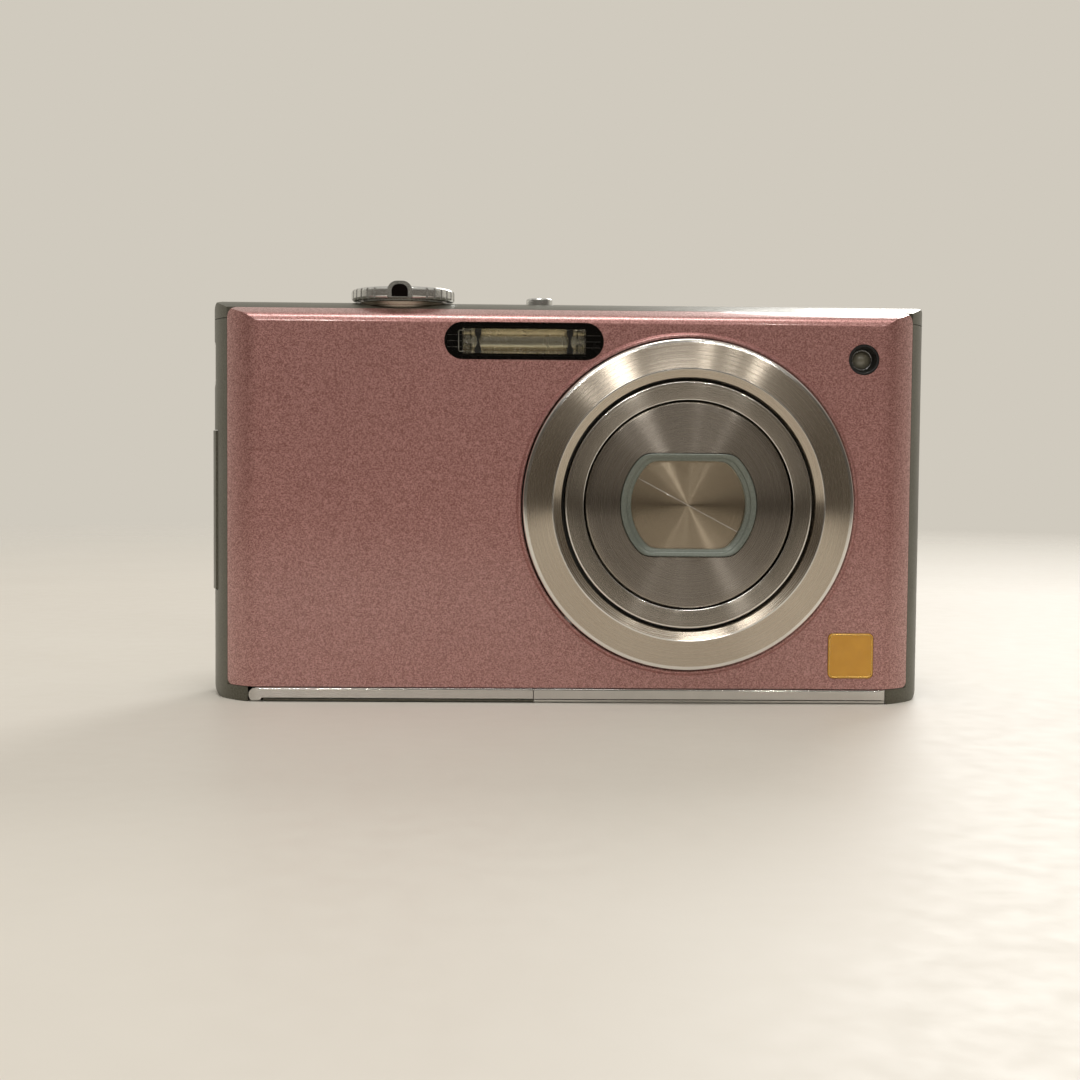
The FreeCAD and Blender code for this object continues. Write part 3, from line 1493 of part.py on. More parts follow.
def main_board():
    """Main circuit board with its shielded parts."""
    board = block(main_board_left, main_board_right, board_front, board_back,
                  main_board_base, main_board_top)
    shields = [(main_board_left + shield_inset, shield_rise, shield_size)]
    shields += [(lens_x + spread, rise, size) for spread, rise, size
                in zip(small_shield_spread, small_shield_rise, small_shield_size)]
    for x, rise, (wide, high) in shields:
        z = main_board_base + rise
        tall = min(shield_height, panel_back - panel_thick - board_back - 0.1)
        if x + wide / 2 < display_x - panel_width / 2:
            tall = min(shield_height, key_board_back - key_board_thick - board_back - key_board_gap)
        if tall > 0.1:
            board = board.fuse(block(x - wide / 2, x + wide / 2, board_back - 0.1,
                                     board_back + tall, z - high / 2, z + high / 2))
    return board


def key_board():
    """Switch board behind the keys of the back."""
    left = pad_x - pad_outer - 1.5
    return block(left, mode_x + mode_width / 2 + 1.0, key_board_back - key_board_thick,
                 key_board_back, pad_z - small_key_drop - small_key_radius - 1.0,
                 pad_z + pad_outer + 1.0)


def keyed(cap, foot):
    """A key's cap with its wider foot."""
    return cap.fuse(foot).removeSplitter()


def center_key():
    """Round centre key."""
    face = body_depth + key_proud
    foot_radius = center_key_radius + key_foot * 0.6
    cap = turned_y([(0, key_foot_front), (foot_radius, key_foot_front),
                    (foot_radius, key_back - key_play), (center_key_radius, key_back - key_play),
                    (center_key_radius, face, 0.25), (0, face)], pad_x, pad_z)
    return cap


def cursor_key(angle):
    """One of the four keys around the centre key; 0 is to the right seen from the front."""
    face = body_depth + key_proud
    ring = tube("y", pad_x, pad_z, pad_outer, pad_inner, key_foot_front, face)
    half = pad_outer + 1
    corners = [(pad_x, pad_z), (pad_x + half, pad_z - half), (pad_x + half, pad_z + half)]
    wedge = prism(corners, "y", key_foot_front, face)
    shift = pad_split * math.sqrt(2)
    wedge.translate(V(shift, 0, 0))
    key = ring.common(wedge)
    foot = tube("y", pad_x, pad_z, pad_outer + key_foot, pad_inner + 0.4, key_foot_front,
                key_back - key_play)
    foot = foot.common(wedge)
    return around(keyed(key, foot), "y", pad_x, pad_z, -angle)


def small_key(index):
    """One of the two small round keys under the cursor keys."""
    x, z, radius = key_rounds()[index]
    face = body_depth + key_proud
    return turned_y([(0, key_foot_front), (radius + key_foot, key_foot_front),
                     (radius + key_foot, key_back - key_play), (radius, key_back - key_play),
                     (radius, face, 0.25), (0, face)], x, z)


def mode_dial():
    """Flat mode dial with a notched rim, on its pin."""
    face = body_depth + dial_proud
    dial = turned_y([(0, face - dial_thick), (dial_radius, face - dial_thick),
                     (dial_radius, face, 0.35), (0, face)], dial_x, dial_z)
    for index in range(dial_notches):
        angle = 2 * math.pi * index / dial_notches
        dial = dial.cut(rod("y", dial_x + dial_radius * math.cos(angle),
                            dial_z + dial_radius * math.sin(angle), dial_notch,
                            face - dial_thick, face))
    pin = rod("y", dial_x, dial_z, dial_pin, dial_base_back() + 0.1, face - dial_thick)
    return dial.fuse(pin)


def dial_base_back():
    """Back face of the plate under the mode dial."""
    return body_depth + dial_proud - dial_thick - 0.3


def dial_base():
    """Switch plate that the mode dial turns on."""
    back = dial_base_back()
    plate = rod("y", dial_x, dial_z, dial_radius + 0.6, back - 0.8, back)
    return plate.cut(rod("y", dial_x, dial_z, dial_pin + rod_play, back - 0.8, back)).fuse(
        rod("y", dial_x, dial_z, dial_pin + 1, back - 1.4, back - 0.8))


def mode_switch():
    """Record and play slider of the back, at one end of its slot."""
    x = mode_x - mode_travel / 2
    face = body_depth + mode_proud
    half_w, half_h = mode_width / 2, mode_height / 2
    knob = rounded("y", x - half_w, x + half_w, mode_z - half_h, mode_z + half_h, mode_round,
                   key_foot_front, face)
    for offset in (-0.8, 0, 0.8):
        knob = knob.cut(rod("z", x + offset, face, 0.18, mode_z - half_h, mode_z + half_h))
    foot = block(x - half_w - mode_foot, x + half_w + mode_foot, key_foot_front,
                 key_back - key_play, mode_z - half_h - mode_foot, mode_z + half_h + mode_foot)
    return knob.fuse(foot).removeSplitter()


def image_sensor():
    """Image sensor on its board, behind the focus lens."""
    half_w, half_h = sensor_width / 2, sensor_height / 2
    board = block(lens_x - half_w, lens_x + half_w, floor_back, floor_back + sensor_board,
                  lens_z - half_h, lens_z + half_h)
    glass_w, glass_h = sensor_glass_width / 2, sensor_glass_height / 2
    glass = block(lens_x - glass_w, lens_x + glass_w, floor_back - sensor_glass_thick, floor_back,
                  lens_z - glass_h, lens_z + glass_h)
    return board.fuse(glass).removeSplitter()


def focus_lens():
    """Focus lens in its carrier."""
    return lens_element(focus_lens_radius, focus_thick, 0.25, focus_front)


def guide_rods():
    """Rods that the focus carrier slides on."""
    return [rod("y", x, z, rod_radius, focus_front - focus_travel - 0.15, floor_back)
            for x, z in rod_places()]


def capacitor():
    """Flash capacitor, upright beside the lens."""
    top = capacitor_base + capacitor_length
    can = rod("z", capacitor_x, capacitor_y, capacitor_radius, capacitor_base, top)
    return can.cut(tube("z", capacitor_x, capacitor_y, capacitor_radius, capacitor_radius - 0.2,
                        capacitor_base + 1.5, capacitor_base + 2.2))


PIECES = {
    "front_cover": front_cover, "mid_frame": mid_frame, "rear_cover": rear_cover,
    "top_cover": top_cover, "base_trim": base_trim,
    "lens_ring": lens_ring, "lens_housing": lens_housing, "cam_ring": cam_ring,
    "drive_gear": drive_gear, "zoom_motor": zoom_motor,
    "barrel_outer": barrel_outer, "barrel_inner": barrel_inner, "window_frame": window_frame,
    "barrier_leaf_upper": lambda: leaf(1), "barrier_leaf_lower": lambda: leaf(-1),
    "lens_cell_and_shutter": lambda: group(lens_cell(), shutter_unit()),
    "lens_groups": lambda: group(
        lens_element(front_lens_radius, front_lens_thick, front_lens_bulge, cell_front),
        lens_element(group_lens_radius, group_lens_thick, group_lens_bulge,
                     shutter_front - group_lens_thick)),
    "focus_carrier": focus_carrier, "focus_lens": focus_lens, "image_sensor": image_sensor,
    "pins_and_rods": lambda: group(door_pin(), side_pin(), *guide_rods()),
    "flash_window": flash_window, "flash_bezel": flash_bezel, "flash_reflector": flash_reflector,
    "flash_tube": flash_tube, "flash_capacitor": capacitor,
    "lamp_bezel": lamp_bezel, "lamp_lens": lamp_lens, "badge": badge,
    "zoom_ring": zoom_ring, "zoom_dish": zoom_dish, "shutter_button": shutter_button,
    "small_button": small_button, "power_switch": power_switch,
    "switch_boards": lambda: group(top_board(), key_board(), dial_base()),
    "speaker_and_microphone": lambda: group(speaker(), microphone()),
    "battery_bay": battery_bay, "battery": battery, "memory_card": memory_card,
    "battery_contacts": battery_contacts, "battery_door": battery_door,
    "door_trim": door_trim, "door_latch": door_latch,
    "tripod_socket": tripod_socket, "base_screws": base_screws,
    "side_door": side_door, "side_sockets": side_sockets,
    "strap_eyelet": strap_eyelet,
    "display_window": display_window, "display_panel": display_panel, "main_board": main_board,
    "center_key": center_key,
    "cursor_key_left": lambda: cursor_key(180), "cursor_key_right": lambda: cursor_key(0),
    "cursor_key_up": lambda: cursor_key(90), "cursor_key_down": lambda: cursor_key(270),
    "display_key": lambda: small_key(0), "menu_key": lambda: small_key(1),
    "mode_dial": mode_dial, "mode_switch": mode_switch,
}


def save():
    """Write each piece to its own STEP file, moved to the shared origin."""
    os.makedirs("parts", exist_ok=True)
    for name, make in PIECES.items():
        shape = make()
        shape.translate(origin_shift)
        shape.exportStep("parts/" + name + ".step")
        print(name, len(shape.Solids), "solids", round(shape.Volume, 2), "mm3")


save()
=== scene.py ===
import logging
import math
from dataclasses import dataclass, field
from enum import Enum
from typing import Callable, Sequence

import bmesh
import bpy
from mathutils import Matrix, Vector


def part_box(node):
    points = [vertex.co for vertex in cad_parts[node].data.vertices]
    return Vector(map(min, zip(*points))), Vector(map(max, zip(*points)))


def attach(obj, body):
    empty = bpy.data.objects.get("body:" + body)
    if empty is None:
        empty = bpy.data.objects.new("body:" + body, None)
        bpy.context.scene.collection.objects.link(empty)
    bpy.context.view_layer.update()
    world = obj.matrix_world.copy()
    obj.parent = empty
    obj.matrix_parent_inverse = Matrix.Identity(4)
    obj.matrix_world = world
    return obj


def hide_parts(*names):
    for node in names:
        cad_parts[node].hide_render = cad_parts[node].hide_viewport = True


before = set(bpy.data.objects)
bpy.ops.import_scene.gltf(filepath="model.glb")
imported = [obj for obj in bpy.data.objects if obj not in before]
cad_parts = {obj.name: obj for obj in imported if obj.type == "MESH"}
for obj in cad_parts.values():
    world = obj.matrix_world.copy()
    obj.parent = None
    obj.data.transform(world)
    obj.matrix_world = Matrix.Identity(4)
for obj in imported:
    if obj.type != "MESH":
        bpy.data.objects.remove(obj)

LOG = logging.getLogger("camera_looks")
MM = 0.001
CRISP = 32.0  # edges that turn by more than this many degrees stay crisp
CORNER = 26.0  # sharpness of the corners between round sides and flats
BEVELLED = 60.0  # edges of a plate that turn by more than this many degrees get its bevel
Colour = tuple[float, float, float]
Outline = Callable[[float], float]
Point = tuple[float, float]


class Axis(Enum):
    """Direction that metal is spun about."""

    Y = "y"
    Z = "z"


def ink(red: int, green: int, blue: int) -> Colour:
    """Turn a screen colour, 0 to 255 in each part, into the linear colour that a shader takes."""
    parts = [value / 255.0 for value in (red, green, blue)]
    return tuple(p / 12.92 if p <= 0.04045 else ((p + 0.055) / 1.055) ** 2.4 for p in parts)


# Finishes
class Recipe:
    """A material in the making: its main shader and the nodes that feed it."""

    def __init__(self, name: str) -> None:
        """Start an empty material.

        Args:
            name: The material's name.
        """
        self.material = bpy.data.materials.new(name)
        self.material.use_nodes = True
        self.tree = self.material.node_tree
        self.shader = next(n for n in self.tree.nodes if n.type == "BSDF_PRINCIPLED")

    def node(self, kind: str, **settings: object) -> bpy.types.Node:
        """Add a node.

        Args:
            kind: The node's Blender type, without its ShaderNode prefix.
            settings: Properties to set on the node.

        Returns:
            The new node.
        """
        made = self.tree.nodes.new("ShaderNode" + kind)
        for key, value in settings.items():
            setattr(made, key, value)
        return made

    def join(self, source: bpy.types.NodeSocket, target: bpy.types.NodeSocket) -> None:
        """Link two sockets."""
        self.tree.links.new(source, target)

    def fixed(self, **values: object) -> None:
        """Set constants on the shader's own sockets.

        Args:
            values: Socket names with underscores for spaces, and their values.
        """
        for key, value in values.items():
            socket = self.shader.inputs[key.replace("_", " ").title().replace("Ior", "IOR")]
            socket.default_value = (*value, 1.0) if isinstance(value, tuple) else value

    def place(self) -> bpy.types.NodeSocket:
        """Return the place on the piece in metres, which moves with it."""
        return self.node("TexCoord").outputs["Object"]

    def noise(self, scale: float, detail: float = 2.0) -> bpy.types.NodeSocket:
        """Add noise over the piece.

        Args:
            scale: Cells per metre.
            detail: Octaves.

        Returns:
            The noise value, about 0 to 1.
        """
        grain = self.node("TexNoise")
        grain.inputs["Scale"].default_value = scale
        grain.inputs["Detail"].default_value = detail
        self.join(self.place(), grain.inputs["Vector"])
        return grain.outputs["Fac"]

    def work(self, kind: str, operation: str, *values: object) -> bpy.types.Node:
        """Add a calculating node and fill its first inputs.

        Args:
            kind: Math or VectorMath.
            operation: What the node works out.
            values: For each input in turn, a socket to link or a constant.

        Returns:
            The new node.
        """
        made = self.node(kind, operation=operation)
        for target, value in zip(made.inputs, values):
            if isinstance(value, bpy.types.NodeSocket):
                self.join(value, target)
            else:
                target.default_value = value
        return made

    def span(self, value: bpy.types.NodeSocket, low: float, high: float,
             start: float = 0.3, end: float = 0.7) -> bpy.types.NodeSocket:
        """Stretch a value onto a range.

        Args:
            value: The value.
            low: Result at start.
            high: Result at end.
            start: Where the range starts.
            end: Where it ends.

        Returns:
            The new value.
        """
        scaled = self.node("MapRange")
        self.join(value, scaled.inputs["Value"])
        for key, number in (("From Min", start), ("From Max", end), ("To Min", low), ("To Max", high)):
            scaled.inputs[key].default_value = number
        return scaled.outputs["Result"]

    def blend(self, amount: bpy.types.NodeSocket, first: Colour, second: Colour) -> bpy.types.NodeSocket:
        """Mix two colours.

        Args:
            amount: How much of the second, 0 to 1.
            first: The first colour.
            second: The second colour.

        Returns:
            The mixed colour.
        """
        mixer = self.node("Mix", data_type="RGBA")
        colour_inputs = [s for s in mixer.inputs if s.type == "RGBA"]
        for socket, colour in zip(colour_inputs, (first, second)):
            socket.default_value = (*colour, 1.0)
        self.join(amount, mixer.inputs["Factor"])
        return next(s for s in mixer.outputs if s.type == "RGBA")

    def cells(self, scale: float) -> bpy.types.NodeSocket:
        """Add a random value for each small cell of the piece.

        Args:
            scale: Cells per metre.

        Returns:
            The value, 0 to 1.
        """
        flakes = self.node("TexVoronoi", feature="F1")
        flakes.inputs["Scale"].default_value = scale
        self.join(self.place(), flakes.inputs["Vector"])
        split = self.node("SeparateColor")
        self.join(flakes.outputs["Color"], split.inputs[0])
        return split.outputs[0]

    def colour(self, value: bpy.types.NodeSocket) -> None:
        """Feed the shader's colour."""
        self.join(value, self.shader.inputs["Base Color"])

    def rough(self, value: bpy.types.NodeSocket) -> None:
        """Feed the shader's roughness."""
        self.join(value, self.shader.inputs["Roughness"])

    def relief(self, height: bpy.types.NodeSocket, depth: float, strength: float = 1.0) -> None:
        """Add fine relief.

        Args:
            height: Height, 0 to 1.
            depth: What a height of 1 stands for, in metres.
            strength: Share of the relief that is used.
        """
        bump = self.node("Bump")
        bump.inputs["Strength"].default_value = strength
        bump.inputs["Distance"].default_value = depth
        self.join(height, bump.inputs["Height"])
        self.join(bump.outputs["Normal"], self.shader.inputs["Normal"])


@dataclass(frozen=True)
class TwoTone:
    """A finish whose colour wanders between a deep and a light tone."""

    name: str
    deep: Colour
    light: Colour


@dataclass(frozen=True)
class FlakePaint(TwoTone):
    """Metallic paint with fine bright flake under a clear coat."""

    flake: float = 7600.0

    def make(self) -> bpy.types.Material:
        """Return the material."""
        mix = Recipe(self.name)
        mix.fixed(metallic=0.6, coat_weight=1.0, coat_roughness=0.09)
        grain = mix.cells(self.flake)
        mix.colour(mix.blend(mix.span(grain, 0.0, 1.0, 0.0, 1.0), self.deep, self.light))
        mix.rough(mix.span(mix.noise(90.0, 2.0), 0.37, 0.40))
        mix.relief(grain, 0.000004, 0.5)
        return mix.material


@dataclass(frozen=True)
class SatinCoat(TwoTone):
    """Fine satin paint or anodised metal with a faint speckle."""

    metallic: float = 0.6
    low: float = 0.34
    high: float = 0.42
    grain: float = 5200.0

    def make(self) -> bpy.types.Material:
        """Return the material."""
        mix = Recipe(self.name)
        mix.fixed(metallic=self.metallic)
        mix.colour(mix.blend(mix.span(mix.noise(self.grain, 2.0), 0.0, 1.0), self.deep, self.light))
        mix.rough(mix.span(mix.noise(140.0, 3.0), self.low, self.high))
        mix.relief(mix.noise(self.grain, 1.0), 0.000004, 0.3)
        return mix.material


@dataclass(frozen=True)
class SpunMetal(TwoTone):
    """Metal turned on a lathe: fine rings about its axis and highlights that run out from it."""

    centre: Vector
    axis: Axis = Axis.Y
    roughness: float = 0.25
    pitch: float = 21000.0
    spread: float = 0.5

    def make(self) -> bpy.types.Material:
        """Return the material."""
        mix = Recipe(self.name)
        mix.fixed(metallic=1.0, anisotropic=1.0)
        plane = (1, 0, 1) if self.axis is Axis.Y else (1, 1, 0)
        away = mix.work("VectorMath", "SUBTRACT", mix.place(), self.centre)
        flat = mix.work("VectorMath", "MULTIPLY", away.outputs[0], plane)
        outward = mix.work("VectorMath", "NORMALIZE", flat.outputs[0])
        world = mix.node("VectorTransform", vector_type="VECTOR", convert_from="OBJECT", convert_to="WORLD")
        mix.join(outward.outputs[0], world.inputs[0])
        mix.join(world.outputs[0], mix.shader.inputs["Tangent"])
        length = mix.work("VectorMath", "LENGTH", flat.outputs[0])
        rings = mix.node("TexNoise", noise_dimensions="1D")
        rings.inputs["Scale"].default_value = self.pitch
        rings.inputs["Detail"].default_value = 3.0
        mix.join(length.outputs["Value"], rings.inputs["W"])
        line = rings.outputs["Fac"]
        mix.colour(mix.blend(mix.span(line, 0.0, 1.0), self.deep, self.light))
        mix.rough(mix.span(line, self.roughness - 0.02, self.roughness + 0.03))
        tilt = mix.work("VectorMath", "SCALE", world.outputs[0])
        mix.join(mix.span(line, -self.spread / 2, self.spread / 2, 0.2, 0.8), tilt.inputs["Scale"])
        normal = mix.node("NewGeometry").outputs["Normal"]
        lean = mix.work("VectorMath", "ADD", normal, tilt.outputs[0])
        whole = mix.work("VectorMath", "NORMALIZE", lean.outputs[0])
        mix.join(whole.outputs[0], mix.shader.inputs["Normal"])
        return mix.material


@dataclass(frozen=True)
class Polished:
    """Polished or plated metal with faint wear."""

    name: str
    tone: Colour
    low: float = 0.06
    high: float = 0.13

    def make(self) -> bpy.types.Material:
        """Return the material."""
        mix = Recipe(self.name)
        mix.fixed(metallic=1.0)
        darker = tuple(value * 0.93 for value in self.tone)
        mix.colour(mix.blend(mix.span(mix.noise(420.0, 3.0), 0.0, 1.0), darker, self.tone))
        mix.rough(mix.span(mix.noise(900.0, 4.0), self.low, self.high))
        return mix.material


@dataclass(frozen=True)
class Moulded(TwoTone):
    """Moulded plastic or rubber with a spark-eroded grain."""

    low: float = 0.38
    high: float = 0.5
    grain: float = 4200.0
    depth: float = 0.00001

    def make(self) -> bpy.types.Material:
        """Return the material."""
        mix = Recipe(self.name)
        mix.colour(mix.blend(mix.span(mix.noise(260.0, 3.0), 0.0, 1.0), self.deep, self.light))
        mix.rough(mix.span(mix.noise(700.0, 2.0), self.low, self.high))
        mix.relief(mix.noise(self.grain, 2.0), self.depth, 0.6)
        return mix.material


@dataclass(frozen=True)
class Clear:
    """Clear moulded plastic or glass with a faint tint."""

    name: str
    tint: Colour
    ior: float = 1.49
    low: float = 0.02
    high: float = 0.05

    def make(self) -> bpy.types.Material:
        """Return the material."""
        mix = Recipe(self.name)
        mix.fixed(transmission_weight=1.0, ior=self.ior)
        paler = tuple(min(1.0, value * 1.03) for value in self.tint)
        mix.colour(mix.blend(mix.span(mix.noise(300.0, 2.0), 0.0, 1.0), self.tint, paler))
        mix.rough(mix.span(mix.noise(600.0, 2.0), self.low, self.high))
        return mix.material


@dataclass(frozen=True)
class Enamel(TwoTone):
    """Glossy coloured enamel over metal, with a faintly uneven tone."""

    def make(self) -> bpy.types.Material:
        """Return the material."""
        mix = Recipe(self.name)
        mix.fixed(coat_weight=0.8, coat_roughness=0.05)
        mix.colour(mix.blend(mix.span(mix.noise(420.0, 3.0), 0.0, 1.0), self.deep, self.light))
        mix.rough(mix.span(mix.noise(900.0, 2.0), 0.28, 0.36))
        mix.relief(mix.noise(500.0, 2.0), 0.00001, 0.35)
        return mix.material


@dataclass(frozen=True)
class Screen(TwoTone):
    """Dark glossy window over a display: deep border and a slightly lighter picture area."""

    low: Vector
    high: Vector
    margin: float = 0.0042

    def make(self) -> bpy.types.Material:
        """Return the material."""
        mix = Recipe(self.name)
        mix.fixed(coat_weight=1.0, coat_roughness=0.03, ior=1.5)
        split = mix.node("SeparateXYZ")
        mix.join(mix.place(), split.inputs[0])
        tests = []
        for key, axis in (("X", 0), ("Z", 2)):
            middle = (self.low[axis] + self.high[axis]) / 2
            half = (self.high[axis] - self.low[axis]) / 2 - self.margin
            shift = mix.work("Math", "SUBTRACT", split.outputs[key], middle)
            size = mix.work("Math", "ABSOLUTE", shift.outputs[0])
            tests.append(mix.work("Math", "LESS_THAN", size.outputs[0], half).outputs[0])
        inside = mix.work("Math", "MULTIPLY", *tests).outputs[0]
        mix.colour(mix.blend(inside, self.deep, self.light))
        mix.rough(mix.span(mix.noise(700.0, 3.0), 0.08, 0.14))
        return mix.material


@dataclass(frozen=True)
class CircuitBoard(TwoTone):
    """Solder-masked board in the deep tone with traces in the light one."""

    def make(self) -> bpy.types.Material:
        """Return the material."""
        mix = Recipe(self.name)
        cells = mix.node("TexVoronoi", feature="DISTANCE_TO_EDGE")
        cells.inputs["Scale"].default_value = 620.0
        mix.join(mix.place(), cells.inputs["Vector"])
        trace = mix.span(cells.outputs["Distance"], 1.0, 0.0, 0.04, 0.09)
        mix.colour(mix.blend(trace, self.deep, self.light))
        mix.rough(mix.span(mix.noise(800.0, 2.0), 0.3, 0.45))
        mix.relief(cells.outputs["Distance"], 0.00003, 0.4)
        return mix.material


@dataclass(frozen=True)
class Tabletop(TwoTone):
    """Plain pale floor with a very faint tooth."""

    near_reach: float = 0.2
    far_reach: float = 0.52

    def make(self) -> bpy.types.Material:
        """Return the material, which thins out to nothing towards the floor's rim."""
        mix = Recipe(self.name)
        mix.colour(mix.blend(mix.span(mix.noise(30.0, 4.0), 0.3, 0.7), self.deep, self.light))
        mix.rough(mix.span(mix.noise(300.0, 2.0), 0.45, 0.55))
        mix.relief(mix.noise(2400.0, 2.0), 0.00001, 0.3)
        length = mix.work("VectorMath", "LENGTH", mix.place())
        fade = mix.span(length.outputs["Value"], 0.0, 1.0, self.near_reach, self.far_reach)
        both = mix.node("MixShader")
        mix.join(fade, both.inputs[0])
        mix.join(mix.shader.outputs[0], both.inputs[1])
        mix.join(mix.node("BsdfTransparent").outputs[0], both.inputs[2])
        ending = next(n for n in mix.tree.nodes if n.type == "OUTPUT_MATERIAL")
        mix.join(both.outputs[0], ending.inputs["Surface"])
        return mix.material


# Meshes
def flat_outline(radius: float, half: float) -> Outline:
    """Outline of a circle with flat top and bottom, its corners slightly rounded.

    Args:
        radius: Radius of the round sides.
        half: Half the height between the flats.

    Returns:
        The distance from the middle as a function of the angle.
    """
    def reach(angle: float) -> float:
        """Return the distance to the outline at an angle."""
        flat = half / max(abs(math.sin(angle)), 1e-6)
        return (radius ** -CORNER + flat ** -CORNER) ** (-1.0 / CORNER)
    return reach


def arc(radius: float, start: float, end: float, steps: int, across: float = 0.0,
        up: float = 0.0) -> list[Point]:
    """Return the points of an arc, its ends included.

    Args:
        radius: Radius of the arc.
        start: Angle of the first point in degrees.
        end: Angle of the last point.
        steps: Number of steps between them.
        across: The centre's place across.
        up: The centre's height.

    Returns:
        Points in order.
    """
    turns = [math.radians(start + (end - start) * index / steps) for index in range(steps + 1)]
    return [(across + radius * math.cos(turn), up + radius * math.sin(turn)) for turn in turns]


def rotated(points: Sequence[Point], degrees: float) -> list[Point]:
    """Return points turned about the origin by an angle in degrees."""
    sine, cosine = math.sin(math.radians(degrees)), math.cos(math.radians(degrees))
    return [(u * cosine - v * sine, u * sine + v * cosine) for u, v in points]


def front_of(node: str, sunk: float = 0.0) -> Vector:
    """Return the middle of a node's front face, or a point some millimetres behind it."""
    low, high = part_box(node)
    return Vector(((low.x + high.x) / 2, low.y + sunk * MM, (low.z + high.z) / 2))


@dataclass
class Turned:
    """Rings of points joined into a closed piece about an axis that points to the front.

    Each ring is an outline and a depth along the axis, with the finish of the band that follows it.
    """

    centre: Vector
    steps: int = 256
    rings: list[tuple[Outline, float, int]] = field(default_factory=list)

    def ring(self, outline: Outline | float, depth: float, finish: int = 0) -> "Turned":
        """Add a ring.

        Args:
            outline: An outline, or the radius of a circle in millimetres.
            depth: Place along the axis in millimetres from the centre.
            finish: Number of the finish on the band up to the next ring.

        Returns:
            This piece.
        """
        shape = outline if callable(outline) else lambda angle: outline * MM
        self.rings.append((shape, depth * MM, finish))
        return self

    def fillet(self, radius: float, depth: float, size: float, start: float, end: float,
               finish: int, count: int = 5) -> "Turned":
        """Add the rings of a rounded edge.

        Args:
            radius: Radius of the middle of the rounding, in millimetres.
            depth: Its place along the axis, in millimetres.
            size: Radius of the rounding, in millimetres.
            start: Angle at its start in degrees: 0 points out, 90 along the axis.
            end: Angle at its end.
            finish: Number of the finish.
            count: Number of rings.

        Returns:
            This piece.
        """
        for index in range(count):
            angle = math.radians(start + (end - start) * index / (count - 1))
            self.ring(radius + size * math.cos(angle), depth + size * math.sin(angle), finish)
        return self

    def point(self, outline: Outline, depth: float, angle: float) -> Vector:
        """Return the point of a ring at an angle."""
        reach = outline(angle)
        return self.centre + Vector((reach * math.cos(angle), depth, reach * math.sin(angle)))

    def build(self, name: str) -> bpy.types.Object:
        """Make the object, with the last ring joined to the first.

        Args:
            name: The object's name.

        Returns:
            The new object.
        """
        mesh = bmesh.new()
        loops = [[mesh.verts.new(self.point(outline, depth, 2 * math.pi * i / self.steps))
                  for i in range(self.steps)] for outline, depth, _ in self.rings]
        for index, (_, _, finish) in enumerate(self.rings):
            here, there = loops[index], loops[(index + 1) % len(loops)]
            for i in range(self.steps):
                j = (i + 1) % self.steps
                face = mesh.faces.new((here[i], here[j], there[j], there[i]))
                face.material_index = finish
        return finish_mesh(mesh, name)


def finish_mesh(mesh: bmesh.types.BMesh, name: str) -> bpy.types.Object:
    """Turn worked geometry into a smooth-shaded object with crisp edges.

    Args:
        mesh: The geometry, freed afterwards.
        name: The object's name.

    Returns:
        The new object.
    """
    bmesh.ops.recalc_face_normals(mesh, faces=mesh.faces)
    data = bpy.data.meshes.new(name)
    mesh.to_mesh(data)
    mesh.free()
    data.shade_smooth()
    data.set_sharp_from_angle(angle=math.radians(CRISP))
    made = bpy.data.objects.new(name, data)
    bpy.context.scene.collection.objects.link(made)
    return made


def plate(name: str, points: Sequence[Point], centre: Vector, start: float, end: float,
          bevel: float, edge_finish: bool = False) -> bpy.types.Object:
    """Make a flat plate that faces the front from its outline.

    Args:
        name: The object's name.
        points: Corners in millimetres from the centre, in order.
        centre: Where the outline's origin and depth 0 lie.
        start: Depth of the front face in millimetres.
        end: Depth of the back face.
        bevel: Width of the bevel along its edges, in millimetres.
        edge_finish: Whether the bevelled edges take the piece's second finish.

    Returns:
        The new object.
    """
    mesh = bmesh.new()

    def corner(u: float, v: float, depth: float) -> bmesh.types.BMVert:
        """Add a corner point."""
        return mesh.verts.new(centre + Vector((u, depth, v)) * MM)

    near = [corner(u, v, start) for u, v in points]
    far = [corner(u, v, end) for u, v in points]
    mesh.faces.new(near)
    mesh.faces.new(far[::-1])
    for index in range(len(points)):
        after = (index + 1) % len(points)
        mesh.faces.new((near[index], far[index], far[after], near[after]))
    bmesh.ops.recalc_face_normals(mesh, faces=mesh.faces)
    rims = [edge for edge in mesh.edges if len(edge.link_faces) == 2
            and edge.calc_face_angle(0.0) > math.radians(BEVELLED)]
    bmesh.ops.bevel(mesh, geom=rims, offset=bevel * MM, segments=2, affect="EDGES", clamp_overlap=True)
    mesh.normal_update()
    for face in mesh.faces:
        face.material_index = int(edge_finish and abs(face.normal.y) <= 0.98)
    return finish_mesh(mesh, name)


def block(name: str, low: Vector, high: Vector, bevel: float) -> bpy.types.Object:
    """Make a small bevelled block between two corners.

    Args:
        name: The object's name.
        low: Lowest corner in metres.
        high: Highest corner in metres.
        bevel: Width of the bevel in millimetres.

    Returns:
        The new object.
    """
    mesh = bmesh.new()
    bmesh.ops.create_cube(mesh, size=1.0)
    middle, size = (low + high) / 2, high - low
    for vert in mesh.verts:
        vert.co = Vector(m + c * s for m, c, s in zip(middle, vert.co, size))
    bmesh.ops.bevel(mesh, geom=mesh.edges[:], offset=bevel * MM, segments=3, affect="EDGES",
                    clamp_overlap=True)
    return finish_mesh(mesh, name)


